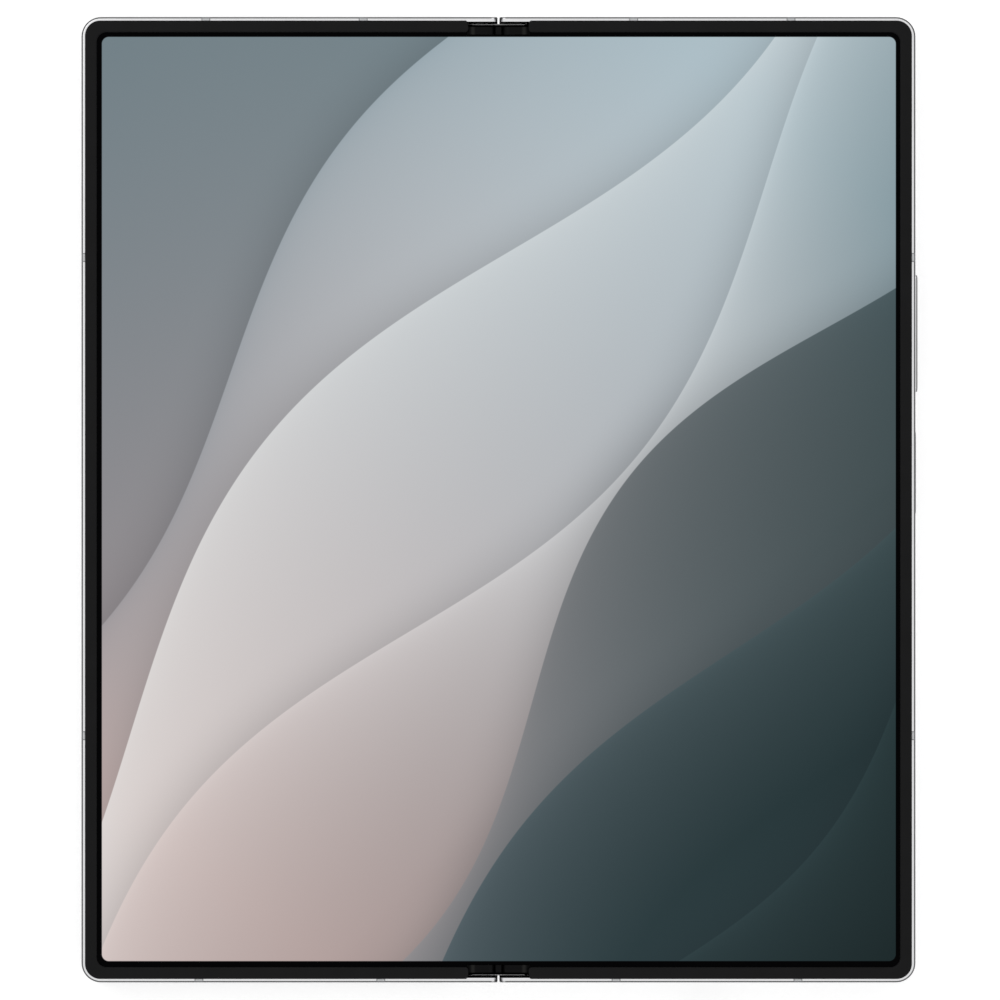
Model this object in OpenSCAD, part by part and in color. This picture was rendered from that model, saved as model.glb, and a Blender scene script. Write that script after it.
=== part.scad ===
// Book-style folding smartphone, open and lying on its back with the main screen up.
// Millimetres. X runs across the fold, Y along it, and Z points out of the main screen.
// The origin is the middle of the fold, on the surface that the camera island rests on.
// Heights below are measured from the back glass, and lift() puts that plane in place.

/* [Body] */
// Height of the phone, along the fold
body_h = 153.5; // [146:0.5:162]
// Width of one half, from the fold line to its outer rail
half_w = 66.3; // [63:0.1:72]
// Thickness of a half, from the back glass to the face of the main screen
half_t = 5.6; // [5.5:0.05:6.2]
// Radius of the outer corners, seen from the front
corner_r = 3.1; // [2.6:0.1:6]
// Thickness of the side walls
rail_w = 1.7; // [1.5:0.05:2]
// Width of the metal that shows round the bezel
lip_w = 0.65; // [0.5:0.05:0.8]
// Rounding of the outer edges of the metal frame
edge_r = 0.35; // [0.2:0.05:0.45]
// Thickness of the back glass and of the cover screen's glass
glass_t = 0.6; // [0.45:0.05:0.7]
// Thickness of the deck that carries the main screen
deck_t = 0.8; // [0.6:0.05:0.9]

/* [Fold] */
// How much wider the closed phone is than one half
closed_extra = 1.8; // [1.7:0.05:1.9]
// Gap left between the two bezels when the phone is closed
fold_gap = 0.2; // [0.1:0.05:0.4]
// Half of the gap between the two frames at the fold
seam = 0.15; // [0.1:0.05:0.2]
// Height of the spine's back above the back glass
spine_z = 0.6; // [0.6:0.01:0.64]
// Wall thickness of the spine cover
spine_wall = 0.45; // [0.4:0.01:0.47]
// Thickness of the frame's skirt that covers the spine from behind
skirt_t = 0.5; // [0.4:0.02:0.52]
// Half width of the stretch of screen that bends
fold_half = 7; // [6.8:0.05:7.3]
// Half width of the hinge zone that shows at the top and bottom edges
end_zone = 5; // [4.95:0.05:5.2]

/* [Main screen] */
// Thickness of the flexible display
display_t = 0.4; // [0.3:0.05:0.4]
// Thickness of the metal sheet glued behind it
sheet_t = 0.2; // [0.1:0.05:0.2]
// Height of the bezel above the screen
bezel_rise = 0.35; // [0.25:0.05:0.4]
// Width of the bezel
bezel_w = 1.8; // [1.4:0.1:2.4]

/* [Hinge] */
// Distance from the end of the phone to each hinge module
module_end = 8.95; // [8.5:0.05:14]
// Module of the timing gears
gear_m = 0.2; // [0.196:0.001:0.202]
// Length of a timing gear
gear_l = 2.6; // [2:0.1:3.2]
// Width of a swing arm, along the fold
arm_w = 2.4; // [2:0.1:3]
// Length of each arc groove, along the fold
groove_w = 3.6; // [3:0.1:4.5]
// Thickness of the bearing walls of the hinge block
wall_t = 1; // [0.8:0.05:1.2]
// Length of a disc-spring stack
spring_l = 4; // [3:0.1:5]
// Length of a stack of friction washers
washer_l = 1.6; // [1.2:0.1:2]
// Radius of the long shafts
shaft_r = 0.4; // [0.35:0.01:0.44]

/* [Keys] */
// Length of the volume key
volume_l = 18.75; // [16:0.25:22]
// Middle of the volume key above the middle of the phone
volume_y = 26.5; // [24:0.25:28]
// Length of the power key
power_l = 13.5; // [11:0.25:14]
// Middle of the power key above the middle of the phone
power_y = 4.3; // [0:0.1:5]
// Width of both keys, across the rail
key_w = 2; // [1.6:0.05:2.2]
// How far the volume key stands out
volume_out = 0.45; // [0.3:0.05:0.6]
// How far the power key stands out
power_out = 0.2; // [0.1:0.05:0.4]

/* [Ports and holes] */
// Middle of the charging port, from the fold
usb_x = 33.2; // [31:0.1:35]
// Inner width of the charging port
usb_w = 8.34; // [8.3:0.01:8.4]
// Inner height of the charging port
usb_h = 2.56; // [2.5:0.01:2.6]
// Length of the card tray's outer face
tray_w = 13; // [12.4:0.1:14]
// Radius of a loudspeaker hole
grille_r = 0.5; // [0.3:0.05:0.6]
// Spacing of the loudspeaker holes
grille_pitch = 1.8; // [1.5:0.1:1.9]
// Number of holes in each loudspeaker row
grille_n = 6; // [4:1:6]

/* [Cameras] */
// Width of the camera island
island_w = 17; // [15:0.5:18]
// Length of the camera island
island_l = 48; // [46:0.5:50]
// Height of the island's plate above the back glass
island_t = 0.8; // [0.6:0.1:1.2]
// Height of a lens ring above the island's plate
ring_t = 0.8; // [0.5:0.1:1]
// Outer radius of a lens ring
ring_r = 6.4; // [5.8:0.1:6.8]
// Spacing of the three lenses
lens_pitch = 15; // [14:0.1:15.4]

/* [Hidden] */
$fn = 64;
clear = 0.05;          // running clearance between sliding faces
snug = 0.02;           // clearance of a part that is fixed in its seat

// Levels above the back glass
stand_h = island_t + ring_t;
deck_top = half_t - display_t - sheet_t;
deck_low = deck_top - deck_t;
rim_top = half_t - 0.1;
bezel_top = half_t + bezel_rise;
mid_z = half_t / 2;
port_z = (glass_t + deck_low) / 2 + 0.1;

// Fold axes: each half turns about its own line at (+-axis_x, axis_z)
closed_half = bezel_top + fold_gap / 2;
spine_drop = spine_z + closed_extra;
axis_x = (closed_half - spine_drop) / 2;
axis_z = (closed_half + spine_drop) / 2;
spine_r = axis_z - spine_z;
spine_in = spine_r - spine_wall;
spine_reach = 70;      // angle of the spine's edge from straight down, about each fold axis
spine_edge = [axis_x + spine_in * sin(spine_reach), axis_z - spine_in * cos(spine_reach)];
spine_edge_x = axis_x + spine_r * sin(spine_reach);
cross_z = spine_edge[1] + 0.08;     // lowest level at which a part crosses the spine's edge
wall_top = cross_z - 0.02;
end_round = axis_x - seam;   // radius that lets the rail ends pass the fold line

// Edges in plan
top_y = body_h / 2;
end_rail = 0.86;       // wall thickness of the rails beside the spine
spine_end = top_y - end_rail - 0.27;
cap_y1 = spine_end - 0.47;
cap_y0 = cap_y1 - 1.2;
strip_y = cap_y0 - 0.1;
panel_in = lip_w + 0.55;     // gap from the outer edge to the display's edge
glass_in = 1;          // gap from the outer edge to the back glass
panel_y = top_y - panel_in;
wall_gap = 0.25;       // from the spine to the hinge-side wall of each half
wall_x = axis_x + spine_r + wall_gap;
wall_thick = 0.8;
glass_x = wall_x + wall_thick + 0.5;
ledge_x = glass_x + 0.8;
ledge_t = 0.6;

// Wing plates under the bending part of the screen
wing_pivot_x = fold_half + 0.2;
wing_pivot_z = deck_top - 0.4;
wing_pin_r = 0.2;
wing_barrel_r = 0.3;
wing_t = 0.4;
wing_top = half_t - display_t - clear;
wing_in = 0.9;
wing_keep_x = fold_half - 0.6;    // what stays of the plate beside a hinge module
deck_x = wing_pivot_x + 0.7;
wing_end = cap_y0 - 1.1;
wing_pin_l = 0.8;

// Timing gears: four equal ones in a row
gear_n = 10;
gear_r = gear_m * gear_n / 2;
gear_z = axis_z - (3 * gear_r - axis_x);
gear_add = 0.8 * gear_m;
gear_ded = 1.25 * gear_m;
gear_backlash = 0.04;
swing_x = 3 * gear_r;
slot_d = swing_x - axis_x;       // the arm's pin runs round an arc of radius slot_d * sqrt(2)
idler_pin_r = shaft_r - 0.05;
hub_r = 0.8 * gear_r;
arm_bar = 0.48;        // height of a swing arm's bar

// Stations of a hinge module along the fold
y_out = top_y - module_end;
module_y = y_out - 5 * wall_t - spring_l - washer_l - gear_l - arm_w - 2 * groove_w;
y_spring = module_y + wall_t;
y_washer = y_spring + spring_l;
y_wall1 = y_washer + washer_l;
y_gear = y_wall1 + wall_t;
y_arm = y_gear + gear_l;
y_wall2 = y_arm + arm_w;
y_right = y_wall2 + wall_t;
y_mid = y_right + groove_w;
y_left = y_mid + wall_t;
y_last = y_left + groove_w;
block_top = axis_z + 0.375;
floor_top = gear_z - gear_r - gear_add - 0.08;
ridge_w = 0.5;

// Arc tongue of a bracket, sliding in its groove
tongue_out = spine_in - clear;
tongue_in = tongue_out - 0.5;
tongue_start = -35;
tongue_end = spine_reach + 1;
groove_in = tongue_in - clear;
bridge_z = axis_z - tongue_in * cos(tongue_end) + 0.28;

// Swing-arm pin and the bracket's base
pin_x = wall_x + 0.45 + 2 * slot_d;
pin_z = gear_z - 0.45;
pin_r = 0.35;
slot_half = pin_r + 0.07;
base_x1 = deck_x + 4.6;
base_t = 0.8;
base_low = deck_low - base_t;
screw_x = deck_x + 2.7;
screw_r = 0.5;
screw_head_r = 0.9;
screw_head_t = 0.5;
bracket_y0 = y_wall2 + 0.1;
slot_plate_t = 1;

// Loudspeaker and microphones, in from the outer edge or out from the fold
speaker_in = 17.3;
speaker_x0 = half_w - speaker_in;
grille_x = speaker_x0 + 1.5;
mic_x = 24;
top_mic_x = 30;
mic_r = 0.3;

// Space for what is inside each half
in_x0 = base_x1 + 0.9;
in_x1 = half_w - rail_w;
in_y = top_y - rail_w;
floor_z = glass_t;

// Rear cameras
island_x = half_w - 3 - island_w / 2;
island_y = top_y - 5.5 - island_l / 2;
camera_side = 11.4;
barrel_r = 4.2;
window_r = ring_r - 0.9;
flash_r = 1.3;
flash_x = island_x - island_w / 2 - 3.2;
flash_y = island_y + lens_pitch;

// Antenna breaks, as distances from the fold or the middle
break_w = 1.4;
top_break_in = 21.5;       // from the fold
top_break_out = 19.8;      // from the outer edge
bottom_break_in = 18.7;
bottom_break_out = 18.7;
side_break_up = volume_y + volume_l / 2 + 2.625;      // from the middle
side_break_down = 37.5;
top_breaks = [top_break_in, half_w - top_break_out];
bottom_breaks = [bottom_break_in, half_w - bottom_break_out];
side_breaks = [side_break_up, -side_break_down];
break_depth = glass_in - 0.1;

// Card tray, in the left half
tray_x = 33;
tray_face_t = 1.2;
tray_h = 1.8;
card_w = 9.8;
card_t = 1;
chip_l = 12.3;
tray_l = 18;
eject_r = 0.4;

// ---------------------------------------------------------------- helpers

module lift() translate([0, 0, stand_h]) children();

module left() mirror([1, 0, 0]) children();

module both_ends() {
    children();
    mirror([0, 1, 0]) children();
}

module block(x0, x1, y0, y1, z0, z1)
    translate([x0, y0, z0]) cube([x1 - x0, y1 - y0, z1 - z0]);

// A cross-section drawn in X and Z, carried along Y
module along_y(y0, y1)
    translate([0, y1, 0]) rotate([90, 0, 0]) linear_extrude(y1 - y0) children();

// A round bar or hole along Y
module rod_y(x, z, r, y0, y1)
    translate([x, y0, z]) rotate([-90, 0, 0]) cylinder(r = r, h = y1 - y0);

module rounded(w, l, r)
    union() {
        square([w - 2 * r, l], center = true);
        square([w, l - 2 * r], center = true);
        for (sx = [-1, 1], sy = [-1, 1])
            translate([sx * (w / 2 - r), sy * (l / 2 - r)]) circle(r);
    }

// A flat-sided bar with round ends: the shape of keys, ports and trays
module stadium(l, h)
    union() {
        square([l - h, h], center = true);
        for (s = [-1, 1]) translate([s * (l - h) / 2, 0]) circle(h / 2);
    }

// Outline of a half, set in from its outer edges by inset and starting at x0
module half_outline(x0, inset) {
    r = max(corner_r - inset, 0.4);
    x1 = half_w - inset;
    y1 = top_y - inset;
    translate([x0, -y1]) square([x1 - r - x0, 2 * y1]);
    translate([x0, r - y1]) square([x1 - x0, 2 * (y1 - r)]);
    for (s = [-1, 1]) translate([x1 - r, s * (y1 - r)]) circle(r);
}

// Carries a profile round the three outer sides of a half. The profile is drawn with
// X as the distance in from the outer edge, and it starts beside the fold at x0.
module round_three_sides(x0) {
    cx = half_w - corner_r;
    cy = top_y - corner_r;
    module turned() translate([corner_r, 0]) mirror([1, 0]) children();
    translate([cx, cy, 0]) rotate([90, 0, 0]) linear_extrude(2 * cy) turned() children();
    both_ends() {
        translate([cx, cy, 0]) rotate_extrude(angle = 90) turned() children();
        translate([x0, cy, 0]) rotate([90, 0, 90]) linear_extrude(cx - x0) turned() children();
    }
}

function arc_points(cx, cz, r, a0, a1, n) =
    [for (i = [0 : n]) let (a = a0 + (a1 - a0) * i / n) [cx + r * cos(a), cz + r * sin(a)]];

function polar(r, angle) = [axis_x + r * sin(angle), axis_z - r * cos(angle)];

// ---------------------------------------------------------------- frames

module rim_profile(inner)
    polygon(concat(
        arc_points(edge_r, edge_r, edge_r, 270, 180, 6),
        arc_points(edge_r, rim_top - edge_r, edge_r, 180, 90, 6),
        [[lip_w, rim_top], [lip_w, deck_top], [inner, deck_top], [inner, glass_t],
         [glass_in, glass_t], [glass_in, 0]]));

module end_rail_profile()
    polygon(concat(
        arc_points(edge_r, edge_r, edge_r, 270, 180, 6),
        arc_points(edge_r, rim_top - edge_r, edge_r, 180, 90, 6),
        [[end_rail, rim_top], [end_rail, 0]]));

// The stretch of rail beside the spine, rounded so that the two halves pass each other
module end_rails()
    both_ends() difference() {
        union() {
            translate([seam, top_y, 0]) rotate([90, 0, 90])
                linear_extrude(end_zone - seam) mirror([1, 0]) end_rail_profile();
            translate([end_zone, top_y, 0]) rotate([90, 0, 90])
                linear_extrude(wall_x - end_zone) mirror([1, 0]) rim_profile(end_rail);
        }
        along_y(top_y - end_rail - 1, top_y + 1) difference() {
            translate([seam - 1, axis_z]) square([end_round + 1, half_t]);
            translate([axis_x, axis_z]) circle(end_round);
        }
    }

// Boxes at the antenna breaks of a half
module break_boxes(depth) {
    for (x = top_breaks)
        block(x - break_w / 2, x + break_w / 2, top_y - depth, top_y + 1, -1, half_t + 1);
    for (x = bottom_breaks)
        block(x - break_w / 2, x + break_w / 2, -top_y - 1, depth - top_y, -1, half_t + 1);
    for (y = side_breaks)
        block(half_w - depth, half_w + 1, y - break_w / 2, y + break_w / 2, -1, half_t + 1);
}

module antenna_inserts()
    intersection() {
        round_three_sides(end_zone) rim_profile(break_depth);
        break_boxes(break_depth);
    }

// What both frames share: rim, deck, hinge-side wall and skirt
module half_frame() {
    difference() {
        union() {
            round_three_sides(wall_x) rim_profile(rail_w);
            translate([0, 0, deck_low]) linear_extrude(deck_t)
                intersection() {
                    half_outline(deck_x, lip_w);
                    translate([0, -in_y - 0.5]) square([half_w - rail_w + 0.5, 2 * in_y + 1]);
                }
            end_rails();
            both_ends() block(end_zone, deck_x + 1, wing_end + 0.15, in_y + 0.3, deck_low, deck_top);
            block(seam, glass_x, 0.3 - top_y, top_y - 0.3, edge_r, skirt_t);
            both_ends() block(seam, glass_x, 0, top_y - edge_r, 0, skirt_t);
            block(wall_x, glass_x, 1 - top_y, top_y - 1, 0, glass_t);
            block(wall_x, wall_x + wall_thick, 1 - top_y, top_y - 1, 0, wall_top);
            block(wall_x, ledge_x, 1 - top_y, top_y - 1, glass_t, glass_t + ledge_t);
        }
        break_boxes(break_depth);
        both_ends() {
            block(wall_x - 1, ledge_x + 1, module_y - 0.5, y_out + 0.5, glass_t, deck_low + 1);
            rod_y(wing_pivot_x, wing_pivot_z, wing_pin_r + snug, wing_end, wing_end + wing_pin_l + 0.4);
            for (y = bracket_screw_ys()) translate([screw_x, y, deck_low - 1])
                cylinder(r = screw_r + snug, h = 1 + deck_t - 0.1);
        }
    }
}

function bracket_screw_ys() = [bracket_y0 + 2, y_out - 2];

// Loudspeaker holes through an end rail, from x outwards
module grille(x, y_sign)
    for (i = [0 : grille_n - 1])
        translate([x + i * grille_pitch, y_sign * top_y, port_z]) rotate([90, 0, 0])
            cylinder(r = grille_r, h = 2 * rail_w + 2, center = true, $fn = 24);

module microphone_hole(x, y_sign)
    translate([x, y_sign * top_y, port_z]) rotate([90, 0, 0])
        cylinder(r = mic_r, h = 2 * rail_w + 2, center = true, $fn = 24);

module key_slot(y, l)
    translate([half_w - rail_w - 1, y, mid_z]) rotate([90, 0, 90])
        linear_extrude(rail_w + 2) stadium(l + 2 * clear, key_w + 2 * clear);

module main_frame() color("silver") lift() difference() {
    half_frame();
    key_slot(volume_y, volume_l);
    key_slot(power_y, power_l);
    translate([usb_x, -top_y - 1, port_z]) rotate([-90, 0, 0])
        linear_extrude(rail_w + 2) stadium(usb_w + 2 * shell_t + 0.1, usb_h + 2 * shell_t + 0.1);
    grille(grille_x, -1);
    microphone_hole(mic_x, -1);
    microphone_hole(top_mic_x, 1);
    translate([udc_x, udc_y, deck_low - 1]) cylinder(r = udc_hole_r, h = deck_t + 2);
}

module cover_frame() color("silver") lift() left() difference() {
    half_frame();
    translate([tray_x, -top_y - 1, port_z]) rotate([-90, 0, 0])
        linear_extrude(rail_w + 2) stadium(tray_w + 2 * clear, tray_h + 2 * clear);
    grille(grille_x, 1);
    microphone_hole(mic_x, 1);
}

module main_antenna_inserts() color("lightgray") lift() antenna_inserts();
module cover_antenna_inserts() color("lightgray") lift() left() antenna_inserts();

// ---------------------------------------------------------------- main screen

// Corner tabs of the panel, under the ends of the bezel
module panel_outline() {
    difference() {
        half_outline(fold_half, panel_in);
        translate([fold_half - 1, -top_y]) square([0.9, body_h]);
    }
    for (s = [-1, 1]) translate([end_zone + 0.2, s > 0 ? strip_y + 0.05 : -panel_y])
        square([fold_half - end_zone - 0.2 + 0.1, panel_y - strip_y - 0.05]);
}

module half_display() translate([0, 0, half_t - display_t]) linear_extrude(display_t) panel_outline();

module half_sheet() translate([0, 0, deck_top]) linear_extrude(sheet_t) difference() {
    half_outline(deck_x, panel_in + 0.3);
    translate([udc_x, udc_y]) circle(udc_hole_r);
}

module bezel_profile()
    polygon([[lip_w, deck_top], [panel_in - snug, deck_top], [panel_in - snug, half_t],
             [lip_w + bezel_w, half_t], [lip_w + bezel_w, bezel_top - 0.1],
             [lip_w + bezel_w - 0.1, bezel_top], [lip_w + 0.25, bezel_top],
             [lip_w, bezel_top - 0.25]]);

module half_bezel() {
    inner_y = top_y - lip_w - bezel_w;
    round_end = 0.7;
    difference() {
        round_three_sides(end_zone) bezel_profile();
        both_ends() translate([0, 0, half_t - 1]) linear_extrude(3) difference() {
            translate([end_zone - 1, inner_y - 1]) square([round_end + 1, round_end + 1]);
            translate([end_zone + round_end, inner_y + round_end]) circle(round_end);
        }
    }
}

module display_right() color("slategray") lift() half_display();
module display_left() color("slategray") lift() left() half_display();
module display_sheet_right() color("dimgray") lift() half_sheet();
module display_sheet_left() color("dimgray") lift() left() half_sheet();
module bezel_right() color([0.13, 0.13, 0.13]) lift() half_bezel();
module bezel_left() color([0.13, 0.13, 0.13]) lift() left() half_bezel();

module display_fold_strip() color("slategray") lift() translate([0, 0, half_t - display_t])
    linear_extrude(display_t) {
        square([2 * fold_half, 2 * strip_y], center = true);
    }

// Caps beside the spine's ends. Within cap_r of the fold axis they are round, so they roll.
cap_r = 1.3;
cap_x1 = end_zone - 0.4;
cap_low = axis_z + 0.175;

module half_fold_caps() both_ends() along_y(cap_y0, cap_y1) {
    intersection() {
        translate([axis_x, axis_z]) circle(cap_r);
        translate([0, cap_low]) square([axis_x, 3]);
    }
    translate([axis_x, cap_low]) square([cap_x1 - axis_x, axis_z + cap_r - cap_low]);
    translate([axis_x, cap_low]) square([end_zone - axis_x, deck_top - cap_low]);
}

module fold_caps_right() color([0.1, 0.1, 0.1]) lift() half_fold_caps();
module fold_caps_left() color([0.1, 0.1, 0.1]) lift() left() half_fold_caps();

// ---------------------------------------------------------------- glass and cameras

module glass_outline() half_outline(glass_x + snug, glass_in + snug);

module rear_glass() color("gainsboro") lift() linear_extrude(glass_t) difference() {
    glass_outline();
    for (i = [-1 : 1]) translate([island_x, island_y + i * lens_pitch]) circle(barrel_r + 0.2);
    translate([flash_x, flash_y]) circle(flash_r + snug);
}

module cover_glass() color([0.05, 0.05, 0.06]) lift() left() linear_extrude(glass_t) glass_outline();

module camera_island() color("silver") lift() translate([island_x, island_y, -island_t])
    linear_extrude(island_t) difference() {
        rounded(island_w, island_l, island_w / 2 - 0.5);
        for (i = [-1 : 1]) translate([0, i * lens_pitch]) circle(barrel_r + 0.2);
    }

module at_lenses() for (i = [-1 : 1]) translate([island_x, island_y + i * lens_pitch, 0]) children();

module camera_rings() color("silver") lift() at_lenses() translate([0, 0, -island_t])
    rotate([180, 0, 0]) rotate_extrude()
        polygon([[window_r + snug, 0], [ring_r, 0], [ring_r, ring_t - 0.25],
                 [ring_r - 0.25, ring_t], [window_r + 0.15, ring_t], [window_r + snug, ring_t - 0.13]]);

module camera_windows() color([0.1, 0.1, 0.12]) lift() at_lenses()
    translate([0, 0, -island_t - ring_t + 0.2]) cylinder(r = window_r, h = ring_t - 0.2);

module rear_camera_modules() color([0.15, 0.15, 0.16]) lift() at_lenses() {
    difference() {
        union() {
            translate([-camera_side / 2, -camera_side / 2, glass_t + 0.1])
                cube([camera_side, camera_side, deck_low - glass_t - 0.1]);
            translate([0, 0, -island_t + 0.1]) cylinder(r = barrel_r, h = glass_t + island_t + 0.4);
        }
        translate([0, 0, -island_t]) cylinder(r = 2.2, h = 1.2);
        translate([0, 0, -island_t]) cylinder(r = 3.4, h = 0.4);
    }
}

module flash_led() color("lightyellow") lift() translate([flash_x, flash_y, 0])
    cylinder(r = flash_r, h = glass_t + 0.6);

udc_x = 33;
udc_y = top_y - 8;
udc_hole_r = 1.8;

module under_display_camera() color([0.15, 0.15, 0.16]) lift() translate([udc_x, udc_y, 0]) {
    translate([-2.6, -2.6, deck_low - 2]) cube([5.2, 5.2, 2]);
    translate([0, 0, deck_low - 0.5]) cylinder(r = udc_hole_r - clear, h = deck_t + 0.4);
}

// ---------------------------------------------------------------- inside the right half

board_gap = 2.55;      // from the lowest camera to the board's lower edge
board_y0 = island_y - lens_pitch - camera_side / 2 - board_gap;
board_y1 = in_y - 0.6;
board_z = deck_low - 1.9;
board_t = 0.7;
boss_r = 1.4;
main_board_x1 = island_x - camera_side / 2 - 1;
port_board_l = 15;
usb_y1 = -in_y + port_board_l;
motor_l = 10;
port_board_x0 = in_x0 + motor_l + 2;
port_board_x1 = speaker_x0 - 1;
shell_t = 0.25;        // wall of the charging port
port_l = 7.4;
tongue_w = 6.7;
tongue_t = 0.7;

module circuit_boards() color("darkgreen") lift() {
    difference() {
        block(in_x0, main_board_x1, board_y0, board_y1, board_z, board_z + board_t);
        block(udc_x - 3, udc_x + 3, udc_y - 3, board_y1 + 1, 0, half_t);
        for (p = board_bosses()) translate([p[0], p[1], 0]) cylinder(r = 0.7, h = half_t);
    }
    difference() {
        block(port_board_x0, port_board_x1, 0.5 - in_y, usb_y1, port_z - 0.35, port_z + 0.35);
        block(usb_x - usb_w / 2 - shell_t - clear, usb_x + usb_w / 2 + shell_t + clear,
              -top_y, port_l + 0.45 - top_y, 0, half_t);
    }
}

function board_bosses() = [[in_x0 + 2.2, board_y0 + 16], [main_board_x1 - 2.2, board_y0 + 2.5],
                           [in_x0 + 2.2, board_y1 - 2.5]];

module board_shields() color("silver") lift() {
    // shield cans on the back of the board, then a can that fills the space up to the deck
    block(in_x0 + 5, udc_x - 4, board_y0 + 3, board_y1 - 4, board_z - 1, board_z);
    block(udc_x - 2, main_board_x1 - 1, board_y0 + 6, udc_y - 6, board_z - 1, board_z);
    block(in_x0 + 7, udc_x - 5, board_y0 + 20, board_y1 - 4, board_z + board_t, deck_low);
    block(udc_x - 3, main_board_x1 - 1, board_y0 + 6, udc_y - 6, board_z + board_t, deck_low);
    // connector blocks under the two flex cables
    for (y = flex_ys) block(in_x0 + 0.2, in_x0 + 3, y + 1, y + flex_w - 1, board_z + board_t, flex_end_z);
}

battery_y0 = usb_y1 + 1;
battery_y1 = board_y0 - 1;
battery_low = glass_t + 0.5;

module main_battery() color([0.1, 0.1, 0.12]) lift()
    block(in_x0, in_x1 - 4, battery_y0, battery_y1, battery_low, deck_low);

coil_r = 21;
coil_hole = 10;
module charging_coil() color("peru") lift()
translate([(in_x0 + in_x1 - 4) / 2, (battery_y0 + battery_y1) / 2, glass_t]) {
    translate([0, 0, 0.2]) linear_extrude(0.3) rounded(2 * coil_r + 3, 2 * coil_r + 3, 4);
    difference() {
        cylinder(r = coil_r, h = 0.2);
        translate([0, 0, -1]) cylinder(r = coil_hole, h = 3);
    }
}

module usb_port() color("gray") lift() translate([usb_x, -top_y + 0.35, port_z]) rotate([-90, 0, 0]) {
    difference() {
        linear_extrude(port_l) stadium(usb_w + 2 * shell_t, usb_h + 2 * shell_t);
        translate([0, 0, -1]) linear_extrude(port_l) stadium(usb_w, usb_h);
    }
    translate([-tongue_w / 2, -tongue_t / 2, 0.8]) cube([tongue_w, tongue_t, port_l - 1.2]);
}

module loudspeaker() color([0.12, 0.12, 0.12]) lift()
    block(speaker_x0, in_x1 - 2, 0.6 - in_y, usb_y1 - 1, glass_t + 0.3, deck_low);

module vibration_motor() color("silver") lift()
    block(in_x0 + 1, in_x0 + 1 + motor_l, 1.2 - in_y, usb_y1 - 1.5, glass_t + 0.3, deck_low);

magnet_ys = [battery_y0 + 13, battery_y0 + 39];
switch_x = in_x1 - 2.1;
switch_t = 0.5;
dome_t = 0.4;
module key_switch_strip() color("orange") lift() {
    block(switch_x, switch_x + switch_t, power_y - power_l / 2, volume_y + volume_l / 2, 1.3, deck_low);
    for (y = [power_y, volume_y - volume_l / 3, volume_y + volume_l / 3])
        translate([switch_x + switch_t, y, mid_z]) rotate([0, 90, 0]) cylinder(r = 1.1, h = dome_t, $fn = 32);
}

module half_magnets()
    for (y = magnet_ys) block(in_x1 - 3.4, in_x1 - 0.4, y - 6, y + 6, deck_low - 1.6, deck_low);

module closing_magnets_right() color("silver") lift() half_magnets();
module closing_magnets_left() color("silver") lift() left() half_magnets();

// ---------------------------------------------------------------- inside the left half

cover_panel_t = 0.8;
module cover_display() color([0.03, 0.03, 0.04]) lift() left() difference() {
    translate([0, 0, glass_t]) linear_extrude(cover_panel_t) half_outline(ledge_x + 0.2, rail_w + 0.3);
    block(0, in_x0 - 0.4, module_y - 0.5, y_out + 0.5, 0, half_t);
    block(0, in_x0 - 0.4, -y_out - 0.5, 0.5 - module_y, 0, half_t);
    translate([udc_x, front_camera_y, 0]) cylinder(r = 2.1, h = half_t);
}

front_camera_y = top_y - 6.5;
cover_low = glass_t + cover_panel_t;
module front_camera() color([0.15, 0.15, 0.16]) lift() left() translate([udc_x, front_camera_y, 0]) {
    translate([0, 0, glass_t + 0.05]) cylinder(r = 2, h = 1.2);
    translate([-3, -3, cover_low + 0.1]) cube([6, 6, deck_low - cover_low - 0.1]);
}

module cover_board() color("darkgreen") lift() left() difference() {
    union() {
        block(in_x0, in_x1 - 4, board_y0, board_y1 - 8, board_z, board_z + board_t);
        block(in_x0 + 8, in_x1 - 6, board_y0 + 4, board_y1 - 12, board_z + board_t, deck_low);
        for (y = flex_ys) block(in_x0 + 0.2, in_x0 + 3, y + 1, y + flex_w - 1, board_z + board_t, flex_end_z);
    }
    block(udc_x - 3.3, udc_x + 3.3, front_camera_y - 3.3, board_y1 + 1, 0, half_t);
}

module cover_battery() color([0.1, 0.1, 0.12]) lift() left()
    block(in_x0, in_x1 - 4, reader_y1 + 0.7, battery_y1, cover_low + 0.2, deck_low);

reader_y1 = tray_l - top_y + 3;

module earpiece_speaker() color([0.12, 0.12, 0.12]) lift() left()
    block(speaker_x0, in_x1 - 2, board_y1 - 7.6, in_y - 0.4, cover_low + 0.1, deck_low - 1.7);

module sim_reader() color("silver") lift() left() translate([tray_x, 0, 0]) difference() {
    block(-card_w / 2 - 1.2, card_w / 2 + 1.2, 1 - in_y, reader_y1, cover_low + 0.1, deck_low);
    block(-card_w / 2 - 0.1, card_w / 2 + 0.1, -top_y, reader_y1 - 1,
        port_z - card_t / 2 - 0.1, port_z + card_t / 2 + 0.1);
}

module sim_tray() color("silver") lift() left() translate([tray_x, -top_y, port_z]) {
    difference() {
        rotate([-90, 0, 0]) linear_extrude(tray_face_t) stadium(tray_w, tray_h);
        translate([tray_w / 2 - tray_h / 2 - 0.2, -1, 0]) rotate([-90, 0, 0])
            cylinder(r = eject_r, h = 4, $fn = 24);
    }
    difference() {
        translate([-card_w / 2, tray_face_t - 0.3, -card_t / 2])
            cube([card_w, tray_l - tray_face_t + 0.3, card_t]);
        translate([0.5 - card_w / 2, tray_l - chip_l - 1.1, -card_t]) cube([card_w - 1, chip_l, 2 * card_t]);
    }
}

// ---------------------------------------------------------------- keys

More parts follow.
